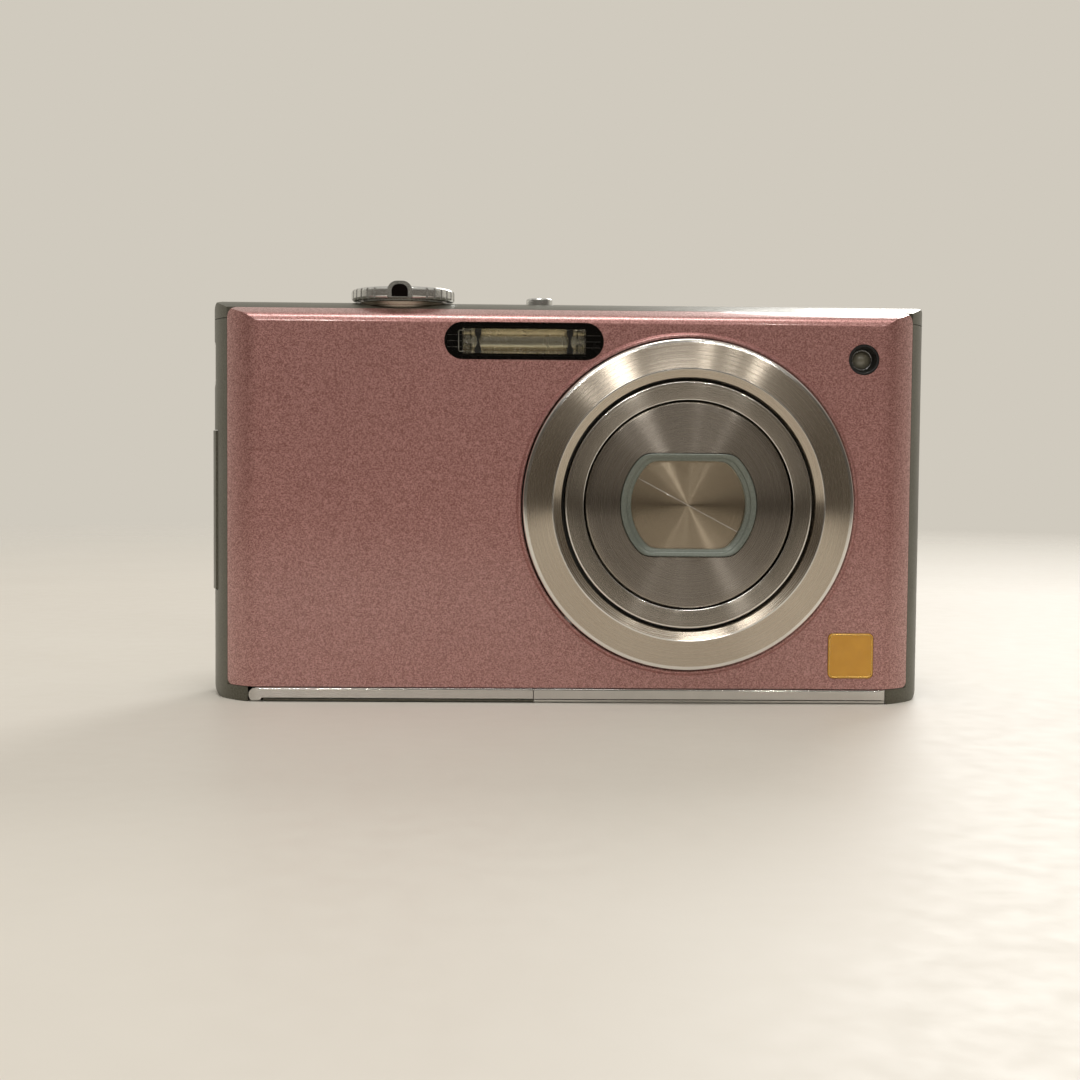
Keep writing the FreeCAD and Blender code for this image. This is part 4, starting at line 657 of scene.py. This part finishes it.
def rounded_box(wide: float, high: float, corner: float) -> list[Point]:
    """Return the outline of a rectangle with round corners about the origin.

    Args:
        wide: Width in millimetres.
        high: Height in millimetres.
        corner: Radius of the corners in millimetres.

    Returns:
        Points in order, in millimetres.
    """
    points: list[Point] = []
    for start, side, up in ((0, 1, 1), (90, -1, 1), (180, -1, -1), (270, 1, -1)):
        points += arc(corner, start, start + 90, 6, side * (wide / 2 - corner), up * (high / 2 - corner))
    return points


def bead(name: str, paths: Sequence[Sequence[Point]], centre: Vector, radius: float,
         closed: bool = True) -> bpy.types.Object:
    """Make thin round beads or wires that lie in a plane facing the front.

    Args:
        name: The object's name.
        paths: For each bead, its points across and up in millimetres.
        centre: The plane's origin in metres.
        radius: The beads' radius in millimetres.
        closed: Whether each bead is a loop.

    Returns:
        The new object.
    """
    curve = bpy.data.curves.new(name, "CURVE")
    curve.dimensions = "3D"
    curve.bevel_depth = radius * MM
    curve.bevel_resolution = 2
    for path in paths:
        line = curve.splines.new("POLY")
        line.points.add(len(path) - 1)
        line.use_cyclic_u = closed
        for spot, (across, up) in zip(line.points, path):
            spot.co = (*(centre + Vector((across, 0.0, up)) * MM), 1.0)
    made = bpy.data.objects.new(name, curve)
    bpy.context.scene.collection.objects.link(made)
    return made


# Sub-assemblies
class Finishes:
    """All the camera's materials, made once."""

    def __init__(self, lens_axis: Vector, zoom_axis: Vector) -> None:
        """Make the materials.

        Args:
            lens_axis: A point on the lens axis.
            zoom_axis: A point on the zoom ring's axis.
        """
        metal = {"deep": ink(188, 176, 160), "light": ink(214, 203, 188)}
        self.pink = FlakePaint("pink_flake_paint", ink(150, 98, 94), ink(210, 158, 152)).make()
        self.grey = SatinCoat("grey_satin", ink(86, 84, 74), ink(110, 108, 96)).make()
        self.chrome = Polished("plated_trim", ink(206, 204, 200)).make()
        self.zoom = SatinCoat("zoom_ring_plating", ink(206, 206, 203), ink(232, 232, 229),
                              0.8, 0.14, 0.2).make()
        self.ring = SpunMetal("spun_lens_ring", centre=lens_axis, **metal).make()
        self.ring_edge = Polished("polished_ring_edge", ink(236, 233, 228), 0.10, 0.16).make()
        self.stage = SpunMetal("spun_outer_barrel", ink(150, 143, 133), ink(176, 168, 157), lens_axis).make()
        self.face = SpunMetal("spun_inner_barrel", ink(134, 127, 118), ink(158, 150, 141), lens_axis,
                              roughness=0.26, spread=0.4).make()
        self.leaf = SpunMetal("spun_leaves", ink(168, 154, 134), ink(188, 174, 152), lens_axis,
                              roughness=0.22, spread=0.3, pitch=26000.0).make()
        self.frame = SatinCoat("window_frame_satin", ink(112, 118, 110), ink(130, 136, 128),
                               0.3, 0.3, 0.38).make()
        self.key = SpunMetal("spun_release_button", centre=zoom_axis, axis=Axis.Z, roughness=0.28,
                             **metal).make()
        self.dish = SpunMetal("spun_dish", centre=zoom_axis, axis=Axis.Z, roughness=0.2, **metal).make()
        self.black = Moulded("black_plastic", ink(16, 16, 16), ink(30, 30, 30)).make()
        self.nylon = Moulded("nylon", ink(46, 46, 44), ink(60, 60, 57), 0.42, 0.55).make()
        self.grey_plastic = Moulded("grey_plastic", ink(92, 92, 86), ink(108, 108, 101)).make()
        self.card = Moulded("card_plastic", ink(34, 40, 62), ink(44, 50, 74)).make()
        self.wrap = Moulded("battery_wrap", ink(50, 52, 56), ink(62, 64, 68), 0.3, 0.4, 1800.0).make()
        self.sleeve = Moulded("capacitor_sleeve", ink(26, 30, 40), ink(36, 40, 52), 0.25, 0.35, 1200.0).make()
        self.clear = Clear("clear_window", (0.97, 0.97, 0.95)).make()
        self.glass = Clear("lens_glass", (0.93, 0.96, 0.95), 1.62, 0.0, 0.01).make()
        self.foil = Polished("mirror_foil", ink(236, 226, 204), 0.22, 0.28).make()
        self.frost = Moulded("frosted_edge", ink(176, 174, 162), ink(198, 196, 184), 0.2, 0.3).make()
        self.holder = Moulded("flash_holder", ink(30, 31, 25), ink(46, 47, 39), 0.2, 0.3).make()
        self.lamp_glass = Enamel("lamp_glass", ink(122, 117, 101), ink(142, 137, 121)).make()
        self.tab_face = Polished("dark_tab_face", ink(58, 50, 50), 0.08, 0.16).make()
        self.badge_rim = Polished("badge_rim", ink(236, 196, 110), 0.2, 0.3).make()
        self.ochre = Enamel("ochre_enamel", ink(212, 150, 28), ink(222, 160, 38)).make()
        self.board = CircuitBoard("circuit_board", ink(18, 72, 46), ink(34, 104, 66)).make()
        self.gold = Polished("contact_gold", ink(220, 180, 104), 0.18, 0.28).make()
        self.steel = Polished("steel", ink(186, 186, 186), 0.22, 0.34).make()
        self.key_plating = SatinCoat("key_plating", ink(128, 127, 120), ink(148, 147, 140),
                                     0.7, 0.26, 0.34).make()
        low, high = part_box("mode_dial")
        self.dial = SpunMetal("spun_dial", ink(150, 149, 143), ink(172, 171, 165), (low + high) / 2,
                              roughness=0.3, spread=0.3).make()
        low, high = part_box("display_window")
        self.screen = Screen("display_glass", ink(5, 5, 6), ink(20, 22, 24), low, high).make()
        self.panel = Moulded("display_stack", ink(40, 42, 44), ink(52, 54, 56), 0.2, 0.3, 900.0).make()


def dress(finish: bpy.types.Material, *nodes: str) -> None:
    """Give CAD nodes a finish.

    Args:
        finish: The material.
        nodes: Names of the nodes.
    """
    for name in nodes:
        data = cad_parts[name].data
        data.materials.clear()
        data.materials.append(finish)
        LOG.info("dressed %s in %s", name, finish.name)


def settle(piece: bpy.types.Object, body: str, slot: str, *finishes: bpy.types.Material) -> bpy.types.Object:
    """Put a new piece on its body with its finishes.

    Args:
        piece: The piece.
        body: The body it rides on.
        slot: Name of a material slot; not used.
        finishes: Its materials, in order.

    Returns:
        The piece.
    """
    for finish in finishes:
        piece.data.materials.append(finish)
    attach(piece, body)
    LOG.info("made %s on %s", piece.name, body)
    return piece


@dataclass
class Shell:
    """The covers, trims, door and badge."""

    finishes: Finishes

    def dress(self) -> None:
        """Dress the fixed covers and the doors."""
        kit = self.finishes
        dress(kit.pink, "front_cover")
        dress(kit.grey, "mid_frame", "rear_cover", "top_cover", "side_door", "battery_door")
        dress(kit.chrome, "base_trim", "door_trim", "strap_eyelet")
        dress(kit.ochre, "badge")
        dress(kit.nylon, "door_latch")
        dress(kit.steel, "tripod_socket", "base_screws", "pins_and_rods")


@dataclass
class LensUnit:
    """The bright ring, both barrels, the window frame and the leaves."""

    finishes: Finishes
    centre: Vector
    ring_radius: float = 21.45
    line_radius: float = 17.6
    outer_radius: float = 16.0
    outer_bore: float = 13.58
    inner_radius: float = 13.33
    frame_radius: float = 8.78
    frame_half: float = 6.65
    window_radius: float = 7.4
    leaf_radius: float = 7.8
    leaf_gap: float = 0.012
    leaf_bevel: float = 0.04
    leaf_tilt: float = -28.0
    pivot_out: float = 10.2
    pivot_up: float = 1.3
    ear_radius: float = 1.15
    seam_drop: float = 0.04
    seam_sunk: float = 0.083
    seam_radius: float = 0.09
    frame_steps: tuple[Point, ...] = ((0.0, 0.95), (0.0, 0.12), (0.03, 0.04), (0.1, 0.0), (0.62, 0.06),
                                      (0.72, 0.12), (0.78, 0.34), (0.86, 0.38), (1.26, 0.46), (1.36, 0.6),
                                      (1.38, 0.95))

    def at(self, node: str) -> Vector:
        """Return the point on the lens axis at a node's front."""
        return Vector((self.centre.x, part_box(node)[0].y, self.centre.z))

    def depth(self, node: str) -> float:
        """Return a node's length along the lens axis in millimetres."""
        low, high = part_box(node)
        return (high.y - low.y) / MM

    def build(self) -> None:
        """Build all the pieces."""
        self.build_ring()
        self.build_outer()
        self.build_inner()
        self.build_frame()
        self.build_leaves()
        self.dress()

    def build_ring(self) -> None:
        """Build the fixed ring: inner bevel, thin raised line, spun band and polished rim."""
        back = self.depth("lens_ring")
        inner, line, rim = self.outer_radius + 0.45, self.line_radius, self.ring_radius
        piece = Turned(self.at("lens_ring"))
        piece.ring(inner, back).ring(inner, 0.62)
        piece.ring(inner + 0.05, 0.52).ring(inner + 0.12, 0.47)
        piece.ring(line - 0.12, 0.06, 1).ring(line - 0.06, 0.0, 1).ring(line + 0.04, 0.0, 1)
        piece.ring(line + 0.1, 0.04)
        piece.ring(rim - 0.56, 0.22).ring(rim - 0.50, 0.24, 1)
        piece.fillet(rim - 0.36, 0.62, 0.36, -80, 0, 1, 7)
        piece.ring(rim, back, 1)
        made = piece.build("lens_ring_turned")
        settle(made, "camera_body", "spun_metal", self.finishes.ring, self.finishes.ring_edge)
        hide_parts("lens_ring")

    def build_outer(self) -> None:
        """Build the outer barrel with its broad front rim."""
        back = self.depth("barrel_outer")
        bore = self.outer_radius - 1.0
        piece = Turned(self.at("barrel_outer"))
        piece.ring(self.outer_radius, back, 1).ring(self.outer_radius, 0.3, 1)
        piece.fillet(self.outer_radius - 0.2, 0.2, 0.2, 0, -90, 1)
        piece.ring(self.outer_radius - 0.24, 0.0)
        piece.fillet(self.outer_bore + 0.12, 0.12, 0.12, -90, -180, 1)
        piece.ring(self.outer_bore, 1.0).ring(bore, 1.0).ring(bore, back)
        made = piece.build("barrel_outer_turned")
        settle(made, "lens_outer", "spun_metal", self.finishes.stage, self.finishes.ring_edge)
        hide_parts("barrel_outer")

    def build_inner(self) -> None:
        """Build the inner barrel's tube, face and flange."""
        back = self.depth("barrel_inner")
        bore, flange = self.inner_radius - 0.63, self.outer_radius - 1.1
        hole = flat_outline((self.frame_radius + 0.08) * MM, (self.frame_half + 0.08) * MM)
        piece = Turned(self.at("barrel_inner"))
        piece.ring(bore, back).ring(bore, 0.7).ring(hole, 0.7).ring(hole, 0.05)
        piece.ring(flat_outline((self.frame_radius + 0.12) * MM, (self.frame_half + 0.12) * MM), 0.0)
        piece.ring(10.6, 0.0).ring(12.2, 0.0)
        piece.fillet(self.inner_radius - 0.22, 0.22, 0.22, -90, 0, 1)
        piece.ring(self.inner_radius, 1.0, 1).ring(self.inner_radius, back - 1.0, 1)
        piece.ring(flange, back - 1.0).ring(flange, back)
        made = piece.build("barrel_inner_turned")
        settle(made, "lens_inner", "spun_metal", self.finishes.face, self.finishes.stage)
        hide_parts("barrel_inner")

    def build_frame(self) -> None:
        """Build the stepped frame around the window, from its steps' insets and depths."""
        piece = Turned(self.at("window_frame"))
        for inset, depth in self.frame_steps:
            piece.ring(flat_outline((self.frame_radius - inset) * MM,
                                    (self.frame_half - inset * 0.7) * MM), depth)
        made = piece.build("window_frame_stepped")
        settle(made, "lens_inner", "window_metal", self.finishes.frame)
        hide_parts("window_frame")

    def build_leaves(self) -> None:
        """Build both barrier leaves with their pivot ears, and the bright edge between them."""
        ear = self.ear_radius
        start = math.degrees(math.asin((self.pivot_up + ear) / self.leaf_radius))
        points = [(-self.leaf_radius, self.leaf_gap), (self.pivot_out + ear, self.leaf_gap)]
        points += arc(ear, 0, 90, 6, self.pivot_out, self.pivot_up)
        points += arc(self.leaf_radius, start, 180, 48)[:-1]
        for side, tilt in (("upper", self.leaf_tilt), ("lower", self.leaf_tilt + 180)):
            node = "barrier_leaf_" + side
            made = plate(node + "_plate", rotated(points, tilt), self.at(node), 0.0, self.depth(node),
                         self.leaf_bevel, edge_finish=True)
            settle(made, "leaf_" + side, "leaf_metal", self.finishes.leaf, self.finishes.ring_edge)
            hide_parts(node)
        reach = self.window_radius - 0.1
        ends = rotated([(-reach, 0.0), (reach, 0.0)], self.leaf_tilt)
        seam = [(across, up - self.seam_drop) for across, up in ends]
        sunk = self.at("barrier_leaf_lower") + Vector((0.0, self.seam_sunk * MM, 0.0))
        made = bead("leaf_seam_edge", [seam], sunk, self.seam_radius, closed=False)
        settle(made, "leaf_lower", "leaf_metal", self.finishes.ring_edge)

    def dress(self) -> None:
        """Dress what lies behind the barrels."""
        kit = self.finishes
        dress(kit.black, "lens_housing", "focus_carrier", "lens_cell_and_shutter")
        dress(kit.nylon, "cam_ring", "drive_gear")
        dress(kit.steel, "zoom_motor")
        dress(kit.glass, "lens_groups", "focus_lens")
        dress(kit.board, "image_sensor")


@dataclass
class FlashUnit:
    """Flash window, reflector, tube and their small clear blocks, the focus lamp and the badge's rim.

    Offsets of the end blocks are inwards, backwards and up or down from the reflector's end.
    """

    finishes: Finishes
    block_near: tuple[float, float, float] = (0.05, 0.25, 0.08)
    block_far: tuple[float, float, float] = (1.25, 1.5, 1.62)
    block_bevel: float = 0.25
    electrode_inset: float = 2.0
    electrode_depths: tuple[float, float] = (0.15, 0.4)
    electrode_quarter: tuple[Point, ...] = ((0.4, 1.6), (0.4, 1.0), (0.12, 0.2))
    rib_levels: tuple[float, ...] = (-0.78, 0.0, 0.78)
    rim_inset: float = 0.36

    def build(self) -> None:
        """Build the parts seen through the window and dress the nodes."""
        kit = self.finishes
        dress(kit.clear, "flash_window")
        dress(kit.black, "lamp_bezel")
        dress(kit.holder, "flash_bezel")
        dress(kit.foil, "flash_reflector")
        dress(kit.glass, "flash_tube")
        dress(kit.lamp_glass, "lamp_lens")
        dress(kit.sleeve, "flash_capacitor")
        self.build_ends()
        self.build_flash_beads()
        self.build_rims()

    def build_ends(self) -> None:
        """Build the dark electrodes and the clear end blocks on the tube."""
        low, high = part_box("flash_reflector")
        upper = list(self.electrode_quarter)
        right = upper + [(u, -v) for u, v in reversed(upper)]
        shape = right + [(-u, -v) for u, v in right]
        for side, x, inward in (("left", low.x, 1), ("right", high.x, -1)):
            end = Vector((x, low.y, (low.z + high.z) / 2))
            for level, up in (("upper", 1), ("lower", -1)):
                near, far = (end + Vector((inward * across, behind, up * rise)) * MM
                             for across, behind, rise in (self.block_near, self.block_far))
                lowest = Vector(min(a, b) for a, b in zip(near, far))
                highest = Vector(max(a, b) for a, b in zip(near, far))
                made = block("flash_end_block_" + side + "_" + level, lowest, highest, self.block_bevel)
                settle(made, "camera_body", "clear_plastic", self.finishes.clear)
            spot = end + Vector((inward * self.electrode_inset * MM, 0.0, 0.0))
            made = plate("flash_electrode_" + side, shape, spot, *self.electrode_depths, 0.05)
            settle(made, "camera_body", "black_plastic", self.finishes.black)

    def build_flash_beads(self) -> None:
        """Build the edges of the clear blocks, the bent lead and the fine ribs of the holder."""
        low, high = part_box("flash_reflector")
        half = (high.x - low.x) / 2 / MM
        loops = [[(side * (half - 0.82) + u, up * 0.88 + v) for u, v in rounded_box(1.5, 1.5, 0.4)]
                 for side in (-1, 1) for up in (-1, 1)]
        made = bead("flash_block_edges", loops, front_of("flash_reflector", 0.12), 0.045)
        settle(made, "camera_body", "clear_plastic", self.finishes.clear)
        front = front_of("flash_reflector", 0.02)
        upper = [(-half + 0.22, 1.36), (-half - 0.34, 1.36), (-half - 0.5, 1.2)]
        lead = upper + [(across, -up) for across, up in reversed(upper)]
        made = bead("flash_lead", [lead], front, 0.075, closed=False)
        settle(made, "camera_body", "polished_trim", self.finishes.frost)
        ribs = [[(side * (half + 0.12), up), (side * (half + 1.95), up)]
                for side in (-1, 1) for up in self.rib_levels]
        made = bead("flash_holder_ribs", ribs, front, 0.045, closed=False)
        settle(made, "camera_body", "black_plastic", self.finishes.grey_plastic)

    def build_rims(self) -> None:
        """Build the rim of the focus lamp's lens and the raised rim of the badge."""
        made = bead("lamp_lens_rim", [rounded_box(2.55, 2.55, 1.27)], front_of("lamp_lens", 0.05), 0.07)
        settle(made, "camera_body", "clear_plastic", self.finishes.steel)
        low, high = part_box("badge")
        wide = (high.x - low.x) / MM - self.rim_inset
        made = bead("badge_rim", [rounded_box(wide, wide, 0.62)], front_of("badge", 0.03), 0.085)
        settle(made, "camera_body", "ochre_enamel", self.finishes.badge_rim)


@dataclass
class TopControls:
    """Zoom ring, dish, release button, small button, power slider and their boards."""

    finishes: Finishes
    face_wide: float = 2.1
    face_high: float = 1.6
    face_drop: float = 0.42

    def build(self) -> None:
        """Build the tab's dark face and dress the nodes."""
        half = self.face_wide / 2
        corner = half * 0.8
        points = [(-half, -self.face_high), (half, -self.face_high)]
        points += arc(corner, 0, 90, 9, half - corner, -corner)
        points += arc(corner, 90, 180, 9, corner - half, -corner)
        spot = front_of("zoom_ring")
        spot.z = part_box("zoom_ring")[1].z - self.face_drop * MM
        made = plate("zoom_tab_face", points, spot, -0.04, 0.3, 0.03)
        settle(made, "zoom_lever", "polished_trim", self.finishes.tab_face)
        self.dress()

    def dress(self) -> None:
        """Dress the controls on top."""
        kit = self.finishes
        dress(kit.zoom, "zoom_ring", "small_button")
        dress(kit.dish, "zoom_dish")
        dress(kit.key, "shutter_button")
        dress(kit.grey_plastic, "power_switch")
        dress(kit.black, "switch_boards", "speaker_and_microphone")


@dataclass
class BackControls:
    """Display, keys, dial and slider of the back."""

    finishes: Finishes
    arrow: float = 0.8
    arrow_back: float = 0.4
    tick_inner: float = 6.95
    tick_outer: float = 7.6
    ticks: int = 12

    def build(self) -> None:
        """Build the plain marks and dress the nodes."""
        self.build_arrows()
        self.build_dial_ticks()
        self.dress()

    def face(self, node: str) -> Vector:
        """Return the middle of a node's rear face."""
        low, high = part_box(node)
        return Vector(((low.x + high.x) / 2, high.y, (low.z + high.z) / 2))

    def build_arrows(self) -> None:
        """Build a small arrowhead on each cursor key."""
        middle = self.face("center_key")
        for side in ("left", "right", "up", "down"):
            spot = self.face("cursor_key_" + side)
            turn = math.degrees(math.atan2(spot.z - middle.z, spot.x - middle.x))
            points = [(self.arrow, 0.0), (-self.arrow_back, self.arrow), (-self.arrow_back, -self.arrow)]
            made = plate("cursor_arrow_" + side, rotated(points, turn), spot, -0.02, 0.03, 0.01)
            settle(made, "key_" + side, "key_metal", self.finishes.frost)

    def build_dial_ticks(self) -> None:
        """Build the plain ticks on the cover around the dial."""
        spot = self.face("mode_dial")
        spot.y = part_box("rear_cover")[1].y
        paths = []
        for index in range(self.ticks):
            inner = self.tick_inner if index % 3 == 0 else self.tick_inner + 0.3
            paths.append(rotated([(inner, 0.0), (self.tick_outer, 0.0)], 360 * index / self.ticks))
        made = bead("dial_ticks", paths, spot, 0.06, closed=False)
        settle(made, "camera_body", "polished_trim", self.finishes.frost)

    def dress(self) -> None:
        """Dress the back."""
        kit = self.finishes
        dress(kit.screen, "display_window")
        dress(kit.panel, "display_panel")
        dress(kit.board, "main_board")
        dress(kit.key_plating, "center_key", "cursor_key_left", "cursor_key_right", "cursor_key_up",
              "cursor_key_down", "display_key", "menu_key", "mode_switch")
        dress(kit.dial, "mode_dial")


@dataclass
class Inside:
    """Battery, card, bay, contacts and side sockets."""

    finishes: Finishes

    def dress(self) -> None:
        """Dress the parts inside."""
        kit = self.finishes
        dress(kit.wrap, "battery")
        dress(kit.card, "memory_card")
        dress(kit.nylon, "battery_bay")
        dress(kit.gold, "battery_contacts")
        dress(kit.black, "side_sockets")


@dataclass(frozen=True)
class Lamp:
    """A soft round lamp that points at a place: width in metres, power in watts."""

    name: str
    place: Vector
    target: Vector
    size: float
    power: float
    tone: Colour

    def hang(self) -> None:
        """Hang the lamp."""
        data = bpy.data.lights.new(self.name, "AREA")
        data.shape = "DISK"
        data.size = self.size
        data.energy = self.power
        data.color = self.tone
        made = bpy.data.objects.new(self.name, data)
        made.location = self.place
        made.rotation_euler = (self.target - self.place).to_track_quat("-Z", "Y").to_euler()
        bpy.context.scene.collection.objects.link(made)


@dataclass
class Studio:
    """Floor, lights, world and camera.

    A streak is an angle from upright, in degrees and positive towards +x, and a power in watts.
    """

    lens_axis: Vector
    viewpoint: Vector = field(default_factory=lambda: Vector((-0.00892, -0.22955, 0.03318)))
    view_turns: tuple[float, float, float] = (0.054, 0.007, 0.023)
    sensor_width: float = 36.0
    focal_length: float = 56.67
    floor_radius: float = 0.56
    floor_low: Colour = ink(214, 208, 198)
    floor_high: Colour = ink(220, 215, 206)
    front_tone: Colour = ink(84, 78, 70)
    back_tone: Colour = ink(208, 202, 190)
    top_tone: Colour = ink(196, 192, 184)
    streaks: tuple[tuple[float, float], ...] = ((-43.0, 0.12), (-31.0, 0.22), (-27.5, 0.34), (-24.5, 0.16),
                                                (6.0, 0.2), (16.0, 0.12), (26.0, 0.26))
    streak_slope: float = 0.3
    streak_distance: float = 1.1
    streak_size: float = 0.016

    def build(self) -> None:
        """Set up everything around the camera."""
        self.build_floor()
        self.build_world()
        self.build_lamps()
        self.build_camera()
        bpy.context.scene.view_settings.view_transform = "Standard"

    def build_floor(self) -> None:
        """Lay the floor."""
        mesh = bmesh.new()
        bmesh.ops.create_circle(mesh, cap_ends=True, segments=96, radius=self.floor_radius)
        floor = finish_mesh(mesh, "floor")
        floor.data.materials.append(Tabletop("pale_floor", self.floor_low, self.floor_high).make())

    def build_world(self) -> None:
        """Light the scene all around: brighter above, quieter towards the front."""
        world = bpy.data.worlds.new("studio")
        world.use_nodes = True
        tree = world.node_tree
        split = tree.nodes.new("ShaderNodeSeparateXYZ")
        tree.links.new(tree.nodes.new("ShaderNodeTexCoord").outputs["Generated"], split.inputs[0])

        def ramp(key: str, start: float, end: float) -> bpy.types.NodeSocket:
            """Turn a part of the direction into a share.

            Args:
                key: X, Y or Z.
                start: Value that gives 0.
                end: Value that gives 1.

            Returns:
                The share.
            """
            made = tree.nodes.new("ShaderNodeMapRange")
            made.inputs["From Min"].default_value = start
            made.inputs["From Max"].default_value = end
            tree.links.new(split.outputs[key], made.inputs["Value"])
            return made.outputs["Result"]

        def blend(amount: bpy.types.NodeSocket, second: Colour) -> tuple[bpy.types.NodeSocket, ...]:
            """Mix an open first colour with a second.

            Args:
                amount: How much of the second, 0 to 1.
                second: The second colour.

            Returns:
                The first colour's socket and the mixed colour.
            """
            made = tree.nodes.new("ShaderNodeMix")
            made.data_type = "RGBA"
            tones = [socket for socket in made.inputs if socket.type == "RGBA"]
            tones[1].default_value = (*second, 1.0)
            tree.links.new(amount, made.inputs["Factor"])
            return tones[0], next(socket for socket in made.outputs if socket.type == "RGBA")

        front, level = blend(ramp("Y", -0.3, 0.35), self.back_tone)
        front.default_value = (*self.front_tone, 1.0)
        below, whole = blend(ramp("Z", 0.3, 0.8), self.top_tone)
        tree.links.new(level, below)
        tree.links.new(whole, tree.nodes["Background"].inputs["Color"])
        tree.nodes["Background"].inputs["Strength"].default_value = 1.0
        bpy.context.scene.world = world

    def build_lamps(self) -> None:
        """Hang the broad soft lamps and a row of small ceiling lamps that draw the spun streaks."""
        middle = Vector((0.0, 0.0, 0.026))
        Lamp("broad_top", Vector((0.0, -0.16, 0.9)), middle, 0.36, 2.8, (1.0, 0.985, 0.96)).hang()
        Lamp("broad_front", Vector((-0.42, -0.95, 0.95)), middle, 0.4, 1.0, (1.0, 0.98, 0.95)).hang()
        Lamp("broad_back", Vector((0.5, 1.2, 0.8)), middle, 0.6, 8.0, (1.0, 0.99, 0.97)).hang()
        for index, (angle, power) in enumerate(self.streaks):
            Lamp("ceiling_%d" % index, self.streak_place(angle), self.lens_axis, self.streak_size, power,
                 (1.0, 0.98, 0.94)).hang()

    def streak_place(self, angle: float) -> Vector:
        """Work out where a small lamp hangs so that spun metal around the lens shows a streak.

        Args:
            angle: The streak's angle.

        Returns:
            The lamp's place.
        """
        turn = math.radians(angle)
        lean = self.streak_slope
        half = Vector((lean * math.sin(turn), -1.0, lean * math.cos(turn))).normalized()
        view = (self.viewpoint - self.lens_axis).normalized()
        return self.lens_axis + (2 * half.dot(view) * half - view) * self.streak_distance

    def build_camera(self) -> None:
        """Set the camera where the front view is taken from."""
        data = bpy.data.cameras.new("viewpoint")
        data.sensor_width = self.sensor_width
        data.lens = self.focal_length
        data.clip_start = 0.01
        data.clip_end = 50.0
        made = bpy.data.objects.new("viewpoint", data)
        about_x, about_y, about_z = (Matrix.Rotation(angle, 3, axis)
                                     for angle, axis in zip(self.view_turns, "XYZ"))
        turn = about_z @ about_y @ about_x
        right, ahead, up = turn[0], turn[1], turn[2]
        pose = Matrix((right, up, -ahead)).transposed().to_4x4()
        pose.translation = self.viewpoint
        made.matrix_world = pose
        bpy.context.scene.collection.objects.link(made)
        bpy.context.scene.camera = made


def main() -> None:
    """Build the camera's looks and the studio."""
    logging.basicConfig(level=logging.INFO, format="%(message)s")
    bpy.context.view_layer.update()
    low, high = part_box("lens_ring")
    lens_axis = (low + high) / 2
    low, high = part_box("zoom_dish")
    zoom_axis = (low + high) / 2
    finishes = Finishes(lens_axis, zoom_axis)
    Studio(lens_axis).build()
    Shell(finishes).dress()
    LensUnit(finishes, lens_axis).build()
    FlashUnit(finishes).build()
    TopControls(finishes).build()
    BackControls(finishes).build()
    Inside(finishes).dress()
    bpy.context.view_layer.update()


if __name__ == "__main__":
    main()
